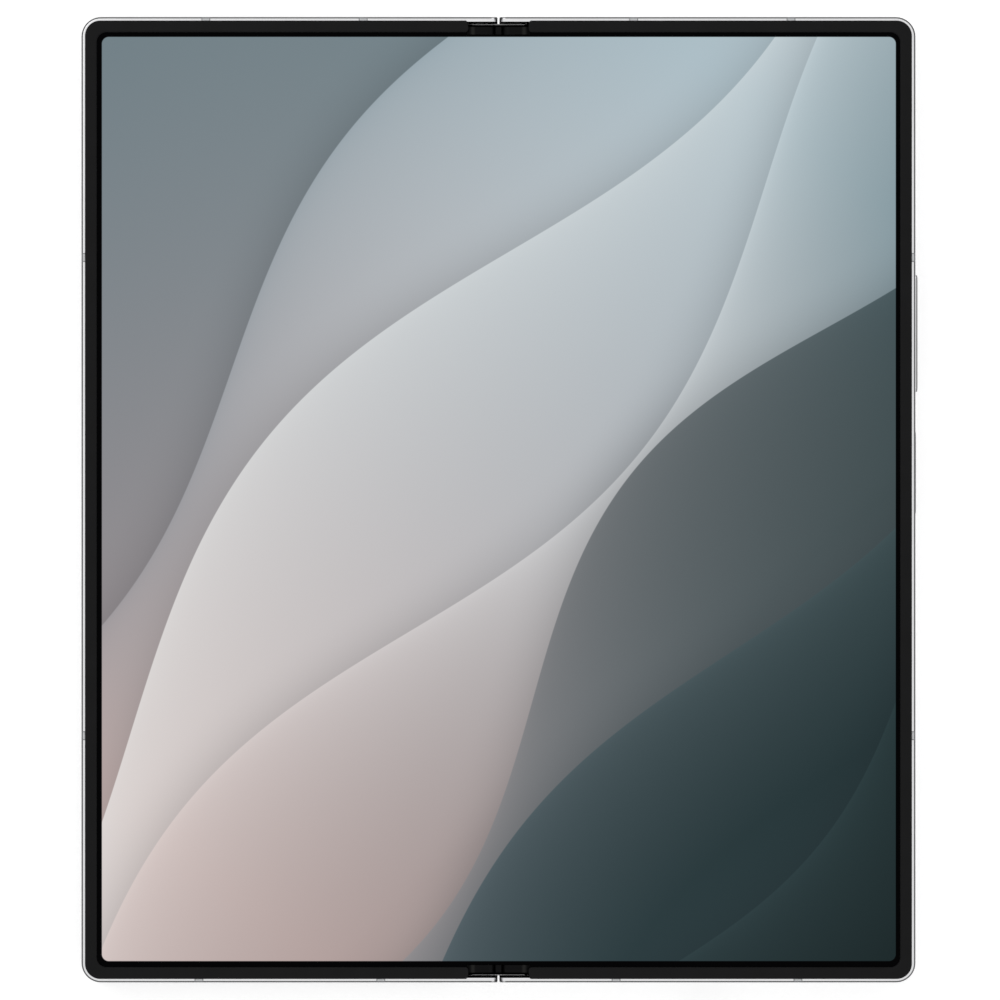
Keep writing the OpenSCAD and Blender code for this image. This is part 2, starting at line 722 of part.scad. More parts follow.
key_in = in_x1 - 0.3;        // flange face of the volume key, clear of the wall as it rocks
module volume_key() color("silver") lift() translate([0, volume_y, mid_z]) {
    translate([key_in, 0, 0]) rotate([90, 0, 90])
        linear_extrude(half_w + volume_out - key_in) stadium(volume_l, key_w);
    translate([key_in - 0.4, -volume_l / 2 - 0.5, -key_w / 2 - 0.3]) cube([0.4, volume_l + 1, key_w + 0.6]);
    for (s = [-1, 1]) translate([key_in - 0.5, s * volume_l / 3, 0]) rotate([0, 90, 0])
        cylinder(r = 0.7, h = 0.3, $fn = 24);
}

module power_key() color("silver") lift() translate([0, power_y, mid_z]) {
    translate([in_x1 - 0.3, 0, 0]) rotate([90, 0, 90])
        linear_extrude(half_w + power_out - in_x1 + 0.3) stadium(power_l, key_w);
    translate([in_x1 - 0.45, -power_l / 2 - 0.5, -key_w / 2 - 0.3])
        cube([0.45 - clear, power_l + 1, key_w + 0.6]);
    translate([in_x1 - 0.8, 0, 0]) rotate([0, 90, 0]) cylinder(r = 0.7, h = 0.5, $fn = 24);
}

// ---------------------------------------------------------------- spine

// Outline of the spine at radius r about both fold axes, open at the top
module spine_shape(r) {
    for (s = [-1, 1]) translate([s * axis_x, axis_z]) circle(r);
    translate([-axis_x, axis_z - r]) square([2 * axis_x, 2 * r]);
}

// Everything above the spine cover's two edges
module above_spine_edges()
    polygon([[axis_x, axis_z], [axis_x + 9 * sin(spine_reach), axis_z - 9 * cos(spine_reach)],
             [20, 20], [-20, 20],
             [-axis_x - 9 * sin(spine_reach), axis_z - 9 * cos(spine_reach)], [-axis_x, axis_z]]);

module spine_cover() color("silver") lift() along_y(-spine_end, spine_end) difference() {
    spine_shape(spine_r);
    spine_shape(spine_in);
    above_spine_edges();
}

module inside_spine(top, gap = snug)
    intersection() {
        spine_shape(spine_in - gap);
        translate([-10, 0]) square([20, top]);
    }

// The wedge of a ring about the right fold axis, between two angles from straight down
module ring_sector(r0, r1, a0, a1)
    intersection() {
        translate([axis_x, axis_z]) difference() {
            circle(r1);
            circle(r0);
        }
        polygon(concat([[axis_x, axis_z]], [for (i = [0 : 4]) polar(9, a0 + (a1 - a0) * i / 4)]));
    }

// Half of a block's outline inside the spine, from the bottom up to top
function inner_arc(top) =
    let (r = spine_in - snug, a = acos((axis_z - top) / r)) [for (i = [0 : 12]) polar(r, a * i / 12)];

function block_points() =
    let (half = concat(inner_arc(block_top), [[ridge_w, block_top], [ridge_w, wing_top]]), n = len(half))
    concat(half, [for (i = [n - 1 : -1 : 0]) [-half[i][0], half[i][1]]]);

// One solid per hinge: pockets for springs and gears, an arc groove for each half's tongue
module hinge_base_blocks() color("dimgray") lift() both_ends() difference() {
    along_y(module_y, y_out) polygon(block_points());
    block(-9, 9, y_spring, y_wall1, floor_top, block_top);
    block(-9, 9, y_gear, y_wall2, floor_top, block_top);
    for (s = [-1, 1]) {
        rod_y(s * swing_x, gear_z, shaft_r + 0.03, module_y - 1, y_right);
        rod_y(s * gear_r, gear_z, idler_pin_r + snug / 2, y_wall1, y_right);
    }
    along_y(y_right, y_mid) ring_sector(groove_in, spine_in + 1, tongue_start - 3, 178);
    left() along_y(y_left, y_last) ring_sector(groove_in, spine_in + 1, tongue_start - 3, 178);
}

module centre_rail() color("dimgray") lift() difference() {
    union() {
        block(-ridge_w, ridge_w, clear - module_y, module_y - clear, spine_z + spine_wall + snug, wing_top);
        both_ends()
            block(-ridge_w, ridge_w, y_out + clear, cap_y0 - 0.6, spine_z + spine_wall + snug, wing_top);
    }
    for (y = flex_ys) block(-5, 5, y - 0.4, y + flex_w + 0.4, 0, wing_top - 0.45);
}

end_stem = 0.44;
module spine_end_caps() color([0.12, 0.12, 0.12]) lift() both_ends() {
    along_y(cap_y0 - 0.5, cap_y1 + 0.05) difference() {
        inside_spine(cap_low - 0.05);
        for (s = [-1, 1]) translate([s * axis_x, axis_z]) circle(cap_r + clear);
    }
    along_y(cap_y1 + 0.05, spine_end) {
        inside_spine(cap_low);
        translate([-end_zone + 0.8, axis_z - 0.3]) square([2 * end_zone - 1.6, half_t - 0.3 - axis_z + 0.3]);
    }
    block(-end_stem, end_stem, cap_y0, cap_y1 + 0.1, axis_z - cap_r, half_t - 0.3);
}

module idler_pins() color("gray") lift() both_ends()
    for (s = [-1, 1]) rod_y(s * gear_r, gear_z, idler_pin_r, y_wall1 + 0.1, y_wall2 + wall_t - 0.1);

// Conical washers, stacked back to back
spring_n = 5;
module disc_springs() color("silver") lift() both_ends() for (s = [-1, 1])
    translate([s * swing_x, y_spring + clear, gear_z]) rotate([-90, 0, 0]) {
        step = (spring_l - 2 * clear) / spring_n;
        for (i = [0 : spring_n - 1]) translate([0, 0, i * step])
            rotate_extrude($fn = 32) disc_spring_profile(step - 0.02, i % 2);
    }

module disc_spring_profile(h, flipped) {
    r0 = shaft_r + clear;
    r1 = 0.95;
    t = 0.3;
    polygon(flipped == 0
        ? [[r0, h - t], [r0, h], [r1, t], [r1, 0]]
        : [[r0, 0], [r0, t], [r1, h], [r1, h - t]]);
}

module friction_washers() color("dimgray") lift() both_ends() for (s = [-1, 1])
    for (i = [0 : 3]) translate([s * swing_x, y_washer + i * washer_l / 4 + 0.02, gear_z]) rotate([-90, 0, 0])
        difference() {
            cylinder(r = 0.95, h = washer_l / 4 - 0.04, $fn = 32);
            translate([0, 0, -1]) cylinder(r = shaft_r + clear, h = 3, $fn = 32);
        }

flex_w = 7;
flex_gap = 2.5;
flex_ys = [module_y - 2 * (flex_w + flex_gap), module_y - flex_w - flex_gap];
flex_t = 0.15;
flex_end_z = deck_low - 0.4;
flex_z = wall_top + 0.2;
function flex_line() = [[in_x0 + 2.5, flex_end_z], [deck_x + 1, flex_end_z], [glass_x + 0.1, flex_z],
                        [wall_x - 0.1, flex_z], [axis_x + 2.2, flex_z - 0.4], [axis_x + 0.2, flex_z - 1]];
module hinge_flex_cables() color("darkorange") lift() for (y = flex_ys) along_y(y, y + flex_w) {
    low = flex_line();
    mirrored = [for (i = [len(low) - 1 : -1 : 0]) [-low[i][0], low[i][1]]];
    line = concat(low, mirrored);
    polygon(concat(line, [for (i = [len(line) - 1 : -1 : 0]) line[i] + [0, flex_t]]));
}

// ---------------------------------------------------------------- moving parts of the hinge

module wing_plate() difference() {
    union() {
        along_y(-wing_end, wing_end) {
            translate([wing_in, wing_top - wing_t]) square([wing_pivot_x - wing_in, wing_t]);
            translate([wing_pivot_x, wing_pivot_z]) circle(wing_barrel_r);
            translate([wing_pivot_x - 0.18, wing_pivot_z]) square([0.36, wing_top - wing_pivot_z]);
        }
        rod_y(wing_pivot_x, wing_pivot_z, wing_pin_r, -wing_end - wing_pin_l, wing_end + wing_pin_l);
    }
    both_ends() block(0, wing_keep_x, module_y - 1.1, y_out + 0.3, 0, half_t);
}

module right_wing_plate() color("lightsteelblue") lift() wing_plate();
module left_wing_plate() color("lightsteelblue") lift() left() wing_plate();

// Involute tooth outline, from the root out along one flank and back down the other
function involute(rb, r) = let (a = acos(min(1, rb / r))) tan(a) * 180 / PI - a;
function gear_points() =
    let (rb = gear_r * cos(20), ro = gear_r + gear_add, rr = gear_r - gear_ded,
         half = 90 / gear_n - gear_backlash / gear_r * 90 / PI,
         flank = [for (i = [0 : 4]) let (r = rb + (ro - rb) * i / 4)
                  [r, half + involute(rb, gear_r) - involute(rb, r)]],
         root = [rr, half + involute(rb, gear_r)])
    [for (k = [0 : gear_n - 1]) let (at = k * 360 / gear_n)
        for (p = concat([[root[0], -root[1]]], [for (f = flank) [f[0], -f[1]]],
                        [for (i = [4 : -1 : 0]) flank[i]], [root]))
            [p[0] * cos(at + p[1]), p[0] * sin(at + p[1])]];

module gear(x, phase, bore, y0, y1)
    along_y(y0, y1) translate([x, gear_z]) difference() {
        rotate(phase) polygon(gear_points());
        circle(bore);
    }

half_tooth = 180 / gear_n;

// Cranked arm: over the spine's edge, then down to the pin that runs in the arc slot
module swing_arm_outline() difference() {
    union() {
        translate([swing_x, gear_z]) circle(hub_r);
        polygon([[swing_x, gear_z + 0.2], [spine_edge[0] - 0.5, cross_z - 0.07], [spine_edge[0], cross_z],
                 [spine_edge_x + 0.12, cross_z], [spine_edge_x + 0.52, cross_z - 0.37],
                 [pin_x - 0.2, pin_z - 0.4], [pin_x + 0.3, pin_z - 0.4], [pin_x + 0.45, pin_z + 0.1],
                 [pin_x, pin_z + 0.5], [spine_edge_x + 0.97, cross_z - 0.02],
                 [spine_edge_x + 0.17, cross_z + arm_bar], [spine_edge[0] - 0.2, cross_z + arm_bar],
                 [swing_x, gear_z + hub_r]]);
    }
    translate([swing_x, gear_z]) circle(shaft_r + 0.01);
}

module swing_arms(phase) both_ends() {
    gear(swing_x, phase, shaft_r + 0.01, y_gear + clear, y_arm + 0.01);
    along_y(y_arm, y_wall2 - clear) swing_arm_outline();
    rod_y(pin_x, pin_z, pin_r, y_wall2 - clear - 0.01, bracket_y0 + slot_plate_t - 0.1);
}

module right_swing_arms() color("gray") lift() swing_arms(half_tooth);
module left_swing_arms() color("gray") lift() left() swing_arms(0);

module hinge_shafts() both_ends() {
    rod_y(swing_x, gear_z, shaft_r, module_y - 0.2, y_right - 0.05);
    rod_y(swing_x, gear_z, 0.8, module_y - 0.8, module_y - 0.1);
}

module right_hinge_shafts() color("silver") lift() hinge_shafts();
module left_hinge_shafts() color("silver") lift() left() hinge_shafts();

module right_idler_gears() color("goldenrod") lift() both_ends()
    gear(gear_r, 0, idler_pin_r + 0.03, y_gear + clear, y_arm - clear);
module left_idler_gears() color("goldenrod") lift() both_ends()
    gear(-gear_r, half_tooth, idler_pin_r + 0.03, y_gear + clear, y_arm - clear);

// Bracket of the right half: arc tongue, bridge over the spine's edge, base under the deck
module bracket_arm_outline() {
    ring_sector(tongue_in, tongue_out, tongue_start, tongue_end);
    polygon([polar(tongue_in, tongue_end - 0.02), polar(tongue_out, tongue_end - 0.02),
             polar(spine_r + 0.13, tongue_end), [wall_x + 0.1, bridge_z - 0.85],
             [deck_x + 1, bridge_z - 0.85], [deck_x + 1, base_low + 0.1],
             [deck_x - 0.5, bridge_z], [spine_edge[0] + 0.09, bridge_z],
             [polar(tongue_in, tongue_end)[0] + 0.02, bridge_z - 0.05]]);
}

module slot_plate_outline() difference() {
    translate([wall_x + 0.1, pin_z - 1.35]) square([pin_x + 0.8 - wall_x, base_low + 0.1 - pin_z + 1.35]);
    arc_slot();
}

// Path of the swing arm's pin in the bracket, as the phone closes
module arc_slot() {
    c = [pin_x - slot_d, pin_z + slot_d];
    r = slot_d * sqrt(2);
    intersection() {
        translate(c) difference() {
            circle(r + slot_half);
            circle(r - slot_half);
        }
        polygon(concat([c], [for (i = [0 : 4]) c + 6 * [cos(-135 + 90 * i / 4), sin(-135 + 90 * i / 4)]]));
    }
    for (x = [pin_x, pin_x - 2 * slot_d]) translate([x, pin_z]) circle(slot_half);
}

module hinge_bracket(y0, y1) {
    difference() {
        union() {
            block(deck_x + 0.1, base_x1, bracket_y0, y_out, base_low, deck_low);
            along_y(bracket_y0, bracket_y0 + slot_plate_t) slot_plate_outline();
            along_y(y0, y1) bracket_arm_outline();
            block(deck_x + 0.1, deck_x + 1, y0, y1, bridge_z - 0.85, base_low + 0.1);
        }
        for (y = bracket_screw_ys()) translate([screw_x, y, base_low - 1])
            cylinder(r = screw_r + snug, h = base_t + 2);
    }
}

module hinge_brackets_right() color("dimgray") lift() both_ends()
    hinge_bracket(y_right + clear, y_mid - clear);
module hinge_brackets_left() color("dimgray") lift() left() both_ends()
    hinge_bracket(y_left + clear, y_last - clear);

module bracket_screws() both_ends() for (y = bracket_screw_ys()) translate([screw_x, y, 0]) {
    translate([0, 0, base_low - 0.01]) cylinder(r = screw_r, h = deck_low + deck_t - 0.2 - base_low);
    difference() {
        translate([0, 0, base_low - screw_head_t]) cylinder(r = screw_head_r, h = screw_head_t);
        for (a = [0, 90]) rotate(a) translate([-0.6, -0.12, base_low - screw_head_t - 0.01])
            cube([1.2, 0.24, 0.3]);
    }
}

module bracket_screws_right() color("gray") lift() bracket_screws();
module bracket_screws_left() color("gray") lift() left() bracket_screws();

// ---------------------------------------------------------------- nodes

main_frame();
main_antenna_inserts();
rear_glass();
camera_island();
camera_rings();
camera_windows();
rear_camera_modules();
flash_led();
circuit_boards();
board_shields();
main_battery();
charging_coil();
usb_port();
loudspeaker();
vibration_motor();
under_display_camera();
key_switch_strip();
display_right();
display_sheet_right();
bezel_right();
fold_caps_right();
hinge_brackets_right();
bracket_screws_right();
closing_magnets_right();
cover_frame();
cover_antenna_inserts();
cover_glass();
cover_display();
front_camera();
cover_board();
cover_battery();
earpiece_speaker();
sim_reader();
display_left();
display_sheet_left();
bezel_left();
fold_caps_left();
hinge_brackets_left();
bracket_screws_left();
closing_magnets_left();
spine_cover();
hinge_base_blocks();
centre_rail();
spine_end_caps();
idler_pins();
disc_springs();
friction_washers();
hinge_flex_cables();
display_fold_strip();
right_wing_plate();
left_wing_plate();
right_swing_arms();
left_swing_arms();
right_hinge_shafts();
left_hinge_shafts();
right_idler_gears();
left_idler_gears();
volume_key();
power_key();
sim_tray();
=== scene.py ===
"""Book-style folding phone, open and lying on its back.

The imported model's pieces get their finishes here. The lit screen, bezels, keys, lenses and small trims
are made here too: they take the place of plainer solids, or add to them."""
import math
import bmesh
import bpy
import numpy as np
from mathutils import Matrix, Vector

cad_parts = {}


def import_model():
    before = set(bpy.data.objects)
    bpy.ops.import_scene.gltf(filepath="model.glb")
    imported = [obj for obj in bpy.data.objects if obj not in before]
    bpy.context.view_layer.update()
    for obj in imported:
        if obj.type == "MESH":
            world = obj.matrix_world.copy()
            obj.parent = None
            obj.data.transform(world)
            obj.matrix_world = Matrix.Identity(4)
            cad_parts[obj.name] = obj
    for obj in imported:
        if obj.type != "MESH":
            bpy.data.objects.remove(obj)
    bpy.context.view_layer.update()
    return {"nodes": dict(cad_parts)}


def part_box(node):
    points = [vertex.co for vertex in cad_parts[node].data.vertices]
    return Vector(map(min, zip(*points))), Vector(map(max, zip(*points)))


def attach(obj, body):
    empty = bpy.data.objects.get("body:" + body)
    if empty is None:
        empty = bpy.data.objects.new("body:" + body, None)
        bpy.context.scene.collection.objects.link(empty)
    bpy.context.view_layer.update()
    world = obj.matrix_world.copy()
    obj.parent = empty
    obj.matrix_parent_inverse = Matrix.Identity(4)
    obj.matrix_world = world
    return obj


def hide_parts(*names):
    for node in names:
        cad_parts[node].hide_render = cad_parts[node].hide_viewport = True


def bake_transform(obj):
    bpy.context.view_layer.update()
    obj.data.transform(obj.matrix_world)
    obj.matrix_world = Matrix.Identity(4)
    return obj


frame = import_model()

MM = 0.001


def corners(node):
    """The lowest corner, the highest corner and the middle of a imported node's box, in mm."""
    low, high = np.array(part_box(node)) / MM
    return [np.round(place, 3).tolist() for place in (low, high, (low + high) / 2)]


# ------------------------------------------------------------------ sizes, in mm

# The phone as a whole. The fold runs along the y axis.
FRAME_LOW, FRAME_HIGH, FRAME_MIDDLE = corners("main_frame")
HALF_W, TOP_Y, RIM_Z = FRAME_HIGH
REST = FRAME_LOW[2]                     # height of the back glass above the floor
BODY_HALF_W = HALF_W - FRAME_MIDDLE[0]  # half the width of one half of the phone
HINGE_X = corners("bezel_right")[0][0]  # where the bezels and the screen's full height start, beside the fold

# The main screen's film, and what it shows
SCREEN_X, SCREEN_Y, SCREEN_TOP = corners("display_right")[1]
SCREEN_LOW = corners("display_right")[0][2]
STRIP_Y = corners("display_fold_strip")[1][1]
ACTIVE_X, ACTIVE_Y, ACTIVE_R = 63.075, 73.43, 1.1
ACTIVE_MIDDLE = (0.06, 0.12)
PICTURE_W, PICTURE_H = 132.0, 154.0     # what the film's UV map spans

# Rear cameras, flash, outer screen, charging port and coil
LENS_X, LENS_Y, _ = corners("camera_windows")[2]
LENS_PITCH = 15.0
BAFFLE_R, BAFFLE_STEP = 3.05, 0.26      # inner radius of a lens's light baffle, and how far each step goes in
FLASH = corners("flash_led")[2][:2]
COVER_X = 36.1                          # how far the outer screen's middle is from the fold
COVER_LENS = corners("front_camera")[2][:2]
PORT_X, _, PORT_Z = corners("usb_port")[2]
TONGUE_HALF_W, TONGUE_HALF_T = 3.42, 0.36
COIL = corners("charging_coil")[2][:2]

# Antenna breaks: how far each is from the middle, along the top, bottom and side rails
TOP_BREAKS, BOTTOM_BREAKS, SIDE_BREAKS = (21.5, 46.5), (18.7, 47.6), (38.5, -37.5)

# The circuits that cross the fold: their line in x and z, their two spans in y, and their bend
FLEX_LINE = np.array([(0.0, 2.4), (2.03, 2.4), (4.03, 3.0), (5.6, 3.4), (7.1, 3.4), (8.9, 3.8),
                      (15.9, 3.8)]) + (0, REST)
FLEX_SPANS = (26, 33), (35.5, 42.5)
FLEX_T = 0.15


# ------------------------------------------------------------------ camera and lamps

def camera():
    """Straight above the phone. The distance makes the photograph's frame 158.9 mm wide at the height of
    the metal rim."""
    data = bpy.data.cameras.new("camera")
    data.type, data.lens, data.sensor_width = "PERSP", 200, 36
    data.clip_start, data.clip_end = 0.01, 50
    made = bpy.data.objects.new("camera", data)
    aside, down, distance = 0.246, 0.04, 883
    made.location = (aside * MM, -down * MM, (RIM_Z + distance) * MM)
    bpy.context.scene.collection.objects.link(made)
    bpy.context.scene.camera = made


def softbox(name, place, size, watts):
    """A square lamp that faces the middle of the phone."""
    data = bpy.data.lights.new(name, "AREA")
    data.shape, data.size, data.energy = "SQUARE", size, watts
    made = bpy.data.objects.new(name, data)
    made.location = place
    bpy.context.scene.collection.objects.link(made)
    x, y, z = place
    made.rotation_euler = (math.atan2(math.hypot(x, y), z), 0, math.atan2(x, -y))


# ------------------------------------------------------------------ material tools

WHITE, BLACK = (1.0, 1.0, 1.0, 1.0), (0.0, 0.0, 0.0, 1.0)


def srgb(red, green, blue):
    """A screen colour of 0 to 255 as linear light."""
    shares = (red / 255, green / 255, blue / 255)
    return tuple(c / 12.92 if c <= 0.04045 else ((c + 0.055) / 1.055) ** 2.4 for c in shares) + (1.0,)


def times(colour, factor):
    """A colour made lighter or darker, with no part of it over 1."""
    return tuple(min(1.0, c * factor) for c in colour[:3]) + (1.0,)


def operator(operation, swapped=False):
    """A Python operator that adds a Math node. The swapped form has the wire on its right."""
    def apply(self, other):
        first, second = (other, self) if swapped else (self, other)
        return self.math(operation, first, second)
    return apply


class Wire:
    """An output of a shader node. Arithmetic on it adds Math nodes to the same tree."""

    def __init__(self, nodes, socket):
        self.nodes, self.socket = nodes, socket

    def out(self, name):
        """Another output of the same node, by its name or number."""
        return Wire(self.nodes, self.socket.node.outputs[name])

    def math(self, operation, *values, **settings):
        return self.nodes.node("ShaderNodeMath", {"operation": operation, **settings}, *values)

    __add__, __radd__ = operator("ADD"), operator("ADD", swapped=True)
    __sub__, __rsub__ = operator("SUBTRACT"), operator("SUBTRACT", swapped=True)
    __mul__, __rmul__ = operator("MULTIPLY"), operator("MULTIPLY", swapped=True)
    __truediv__ = operator("DIVIDE")
    __mod__ = operator("FLOORED_MODULO")
    __gt__, __lt__ = operator("GREATER_THAN"), operator("LESS_THAN")
    most, least = operator("MAXIMUM"), operator("MINIMUM")

    def __neg__(self):
        return self * -1.0

    def __abs__(self):
        return self.math("ABSOLUTE", self)

    def root(self):
        return self.math("SQRT", self)

    def wave(self):
        """A sine wave of it between 0 and 1."""
        return self.sine() * 0.5 + 0.5

    def sine(self):
        return self.math("SINE", self)

    def clamp(self):
        return self.math("ADD", self, 0.0, use_clamp=True)

    def step(self, low, high):
        """0 below low, 1 above high, with a smooth rise between them."""
        return self.nodes.node("ShaderNodeMapRange", {"interpolation_type": "SMOOTHSTEP"},
                               self, low, high, 0.0, 1.0)


class Nodes:
    """The shader nodes of a material or of the world, from nothing."""

    def __init__(self, owner, output):
        owner.use_nodes = True
        self.tree = owner.node_tree
        self.tree.nodes.clear()
        self.output = self.tree.nodes.new(output)

    def put(self, socket, value):
        if isinstance(value, Wire):
            self.tree.links.new(value.socket, socket)
        else:
            socket.default_value = value

    def node(self, kind, settings=None, *values, **named):
        """A node of that kind: its settings first, then the values or wires of its sockets. It is given
        back as its first output."""
        made = self.tree.nodes.new(kind)
        for key, value in (settings or {}).items():
            if key == "stops":
                ramp = made.color_ramp
                while len(ramp.elements) < len(value):
                    ramp.elements.new(1.0)
                for element, (place, colour) in zip(ramp.elements, value):
                    element.position, element.color = place, colour
            else:
                setattr(made, key, value)
        for place, value in [*enumerate(values), *named.items()]:
            if value is not None:
                self.put(made.inputs[place.replace("_", " ") if isinstance(place, str) else place], value)
        return Wire(self, made.outputs[0])


class Finish(Nodes):
    """One material: a Principled shader, and the nodes that feed it."""

    def __init__(self, name, **sockets):
        self.material = bpy.data.materials.new(name)
        super().__init__(self.material, "ShaderNodeOutputMaterial")
        self.shader = self.tree.nodes.new("ShaderNodeBsdfPrincipled")
        self.tree.links.new(self.shader.outputs[0], self.output.inputs[0])
        self.known = {}
        self.set(**sockets)

    def set(self, **sockets):
        for name, value in sockets.items():
            self.put(self.shader.inputs[name.replace("_", " ")], value)

    def once(self, key, make):
        """What make gives, made the first time that it is asked for."""
        if key not in self.known:
            self.known[key] = make()
        return self.known[key]

    def coords(self, name):
        return self.once("coords", lambda: self.node("ShaderNodeTexCoord")).out(name)

    def place(self):
        """Where a point is, in millimetres, as a vector."""
        return self.once("place", lambda: self.node("ShaderNodeVectorMath", {"operation": "SCALE"},
                                                    self.coords("Object"), Scale=1000.0))

    def stretched(self, x, y, z):
        """The place in mm times a factor along each axis, for grain that runs one way."""
        return self.node("ShaderNodeVectorMath", {"operation": "MULTIPLY"}, self.place(), (x, y, z))

    def parts(self, vector):
        """A vector as three numbers."""
        split = self.node("ShaderNodeSeparateXYZ", None, vector)
        return split, split.out(1), split.out(2)

    def xyz(self):
        """Where a point is, in millimetres, as three numbers."""
        return self.once("xyz", lambda: self.parts(self.place()))

    def facing(self):
        """The surface's own direction, as three numbers that turn with the piece."""
        return self.once("facing", lambda: self.parts(self.coords("Normal")))

    def noise(self, scale, detail=2.0, roughness=0.5, vector=None):
        """Cloudy noise from 0 to 1, with that many lumps to the millimetre."""
        return self.node("ShaderNodeTexNoise", None, Vector=vector or self.place(), Scale=scale,
                         Detail=detail, Roughness=roughness)

    def cells(self, scale):
        """Distance from the nearest of scattered points, with that many of them to the millimetre."""
        return self.node("ShaderNodeTexVoronoi", None, Vector=self.place(), Scale=scale)

    def mix(self, share, first, second):
        """From the first colour at 0 to the second at 1. The node's colours go in at 6 and 7 and out at 2."""
        made = self.node("ShaderNodeMix", {"data_type": "RGBA"}, share)
        self.put(made.socket.node.inputs[6], first)
        self.put(made.socket.node.inputs[7], second)
        return made.out(2)

    def ramp(self, place, *stops):
        """The colour at a place from 0 to 1 between stops, each with its own place and colour."""
        return self.node("ShaderNodeValToRGB", {"stops": stops}, place)

    def bump(self, height, depth, strength=1.0):
        """Relief of that depth in millimetres where height goes from 0 to 1."""
        return self.node("ShaderNodeBump", None, Strength=strength, Distance=depth * MM, Height=height)

    def away_from(self, x, y):
        """Distance in plan from a point, mm."""
        px, py, _ = self.xyz()
        return ((px - x) * (px - x) + (py - y) * (py - y)).root()


def rounded_distance(x, y, half_x, half_y, radius):
    """Distance from a rectangle with round corners, negative inside it, mm."""
    over_x, over_y = abs(x) - (half_x - radius), abs(y) - (half_y - radius)
    outer_x, outer_y = over_x.most(0.0), over_y.most(0.0)
    return (outer_x * outer_x + outer_y * outer_y).root() + over_x.most(over_y).least(0.0) - radius


def not_upright(up):
    """0 on upright faces and 1 on all others. up is how far a face looks along the axis that counts as
    upright, from 0 to 1."""
    return up.step(0.12, 0.34)


def rounded_edge(up):
    """1 on the rounding between flat faces and upright ones, and 0 on both."""
    return not_upright(up) * (1.0 - up.step(0.94, 0.999))


# ------------------------------------------------------------------ mesh tools, all in millimetres

def skin(rows, columns, closed_rows=False, closed_columns=False, first=0):
    """Four-sided faces over a grid of points numbered row by row, from the number first on."""
    index = first + np.arange(rows * columns).reshape(rows, columns)
    if closed_rows:
        index = np.concatenate([index, index[:1]], 0)
    if closed_columns:
        index = np.concatenate([index, index[:, :1]], 1)
    return np.stack([index[:-1, :-1], index[1:, :-1], index[1:, 1:], index[:-1, 1:]], -1).reshape(-1, 4)


def tube(points, rows, columns):
    """A part from rows of points that each go once round: skinned, and closed by a flat face at both ends."""
    ends = np.stack([np.arange(columns), np.arange(columns) + (rows - 1) * columns])
    return points, [skin(rows, columns, closed_columns=True), ends]


def shell(name, parts, uv=None, soft=35):
    """An object from parts, each of them points and groups of faces. Its faces point outwards, and edges
    sharper than soft degrees stay sharp."""
    points, loops, sizes, first = [], [], [], 0
    for place, groups in parts:
        place = place.reshape(-1, 3)
        for group in groups:
            loops.append(group.ravel() + first)
            sizes.append(np.full(len(group), group.shape[1]))
        points.append(place)
        first += len(place)
    points, loops, sizes = np.concatenate(points), np.concatenate(loops), np.concatenate(sizes)
    mesh = bpy.data.meshes.new(name)
    mesh.vertices.add(len(points))
    mesh.vertices.foreach_set("co", (points * MM).astype(np.float32).ravel())
    mesh.loops.add(len(loops))
    mesh.loops.foreach_set("vertex_index", loops.astype(np.int32))
    mesh.polygons.add(len(sizes))
    mesh.polygons.foreach_set("loop_start", (np.cumsum(sizes) - sizes).astype(np.int32))
    mesh.update(calc_edges=True)
    if uv is not None:
        layer = mesh.uv_layers.new(name="UVMap")
        layer.data.foreach_set("uv", uv(points)[loops].astype(np.float32).ravel())
    turned_out = bmesh.new()
    turned_out.from_mesh(mesh)
    bmesh.ops.recalc_face_normals(turned_out, faces=turned_out.faces)
    turned_out.to_mesh(mesh)
    turned_out.free()
    mesh.polygons.foreach_set("use_smooth", np.ones(len(sizes), bool))
    mesh.set_sharp_from_angle(angle=math.radians(soft))
    made = bpy.data.objects.new(name, mesh)
    bpy.context.scene.collection.objects.link(made)
    return made


def rounded_loop(x0, x1, y0, y1, radius, inset=0.0, steps=10):
    """A rectangle with round corners, moved in by inset: four quarter circles about fixed centres."""
    r = max(radius - inset, 0.03)
    x0, x1, y0, y1 = x0 + inset + r, x1 - inset - r, y0 + inset + r, y1 - inset - r
    turn = np.linspace(0, math.pi / 2, steps)
    quarters = []
    for k, (x, y) in enumerate([(x1, y1), (x0, y1), (x0, y0), (x1, y0)]):
        a = turn + k * math.pi / 2
        quarters.append(np.stack([x + r * np.cos(a), y + r * np.sin(a)], -1))
    return np.concatenate(quarters)


def stack(loops, heights):
    """Loops of equal length at given heights, skinned and closed by a flat face at both ends."""
    n = len(loops[0])
    points = np.concatenate([np.column_stack([loop, np.full(n, z)]) for loop, z in zip(loops, heights)])
    return tube(points, len(loops), n)


def turned(profile, centre, steps=72):
    """A profile of (radius, height) from axis to axis, turned about the upright line through centre. A
    profile whose ends are off the axis is closed into a ring."""
    profile = np.array(profile, float)
    a = np.arange(steps) * 2 * math.pi / steps
    on_axis = profile[0, 0] == 0
    rim = profile[1:-1] if on_axis else profile
    ring = np.stack([centre[0] + rim[:, :1] * np.cos(a), centre[1] + rim[:, :1] * np.sin(a),
                     np.repeat(rim[:, 1:], steps, 1)], -1).reshape(-1, 3)
    if not on_axis:
        return ring, [skin(len(rim), steps, closed_rows=True, closed_columns=True)]
    poles = np.array([[*centre, profile[0, 1]], [*centre, profile[-1, 1]]])
    n, k = len(ring), np.arange(steps)
    after = (k + 1) % steps
    fans = np.concatenate([np.stack([np.full(steps, n), after, k], -1),
                           np.stack([np.full(steps, n + 1), n - steps + k, n - steps + after], -1)])
    return np.concatenate([ring, poles]), [skin(len(rim), steps, closed_columns=True), fans]


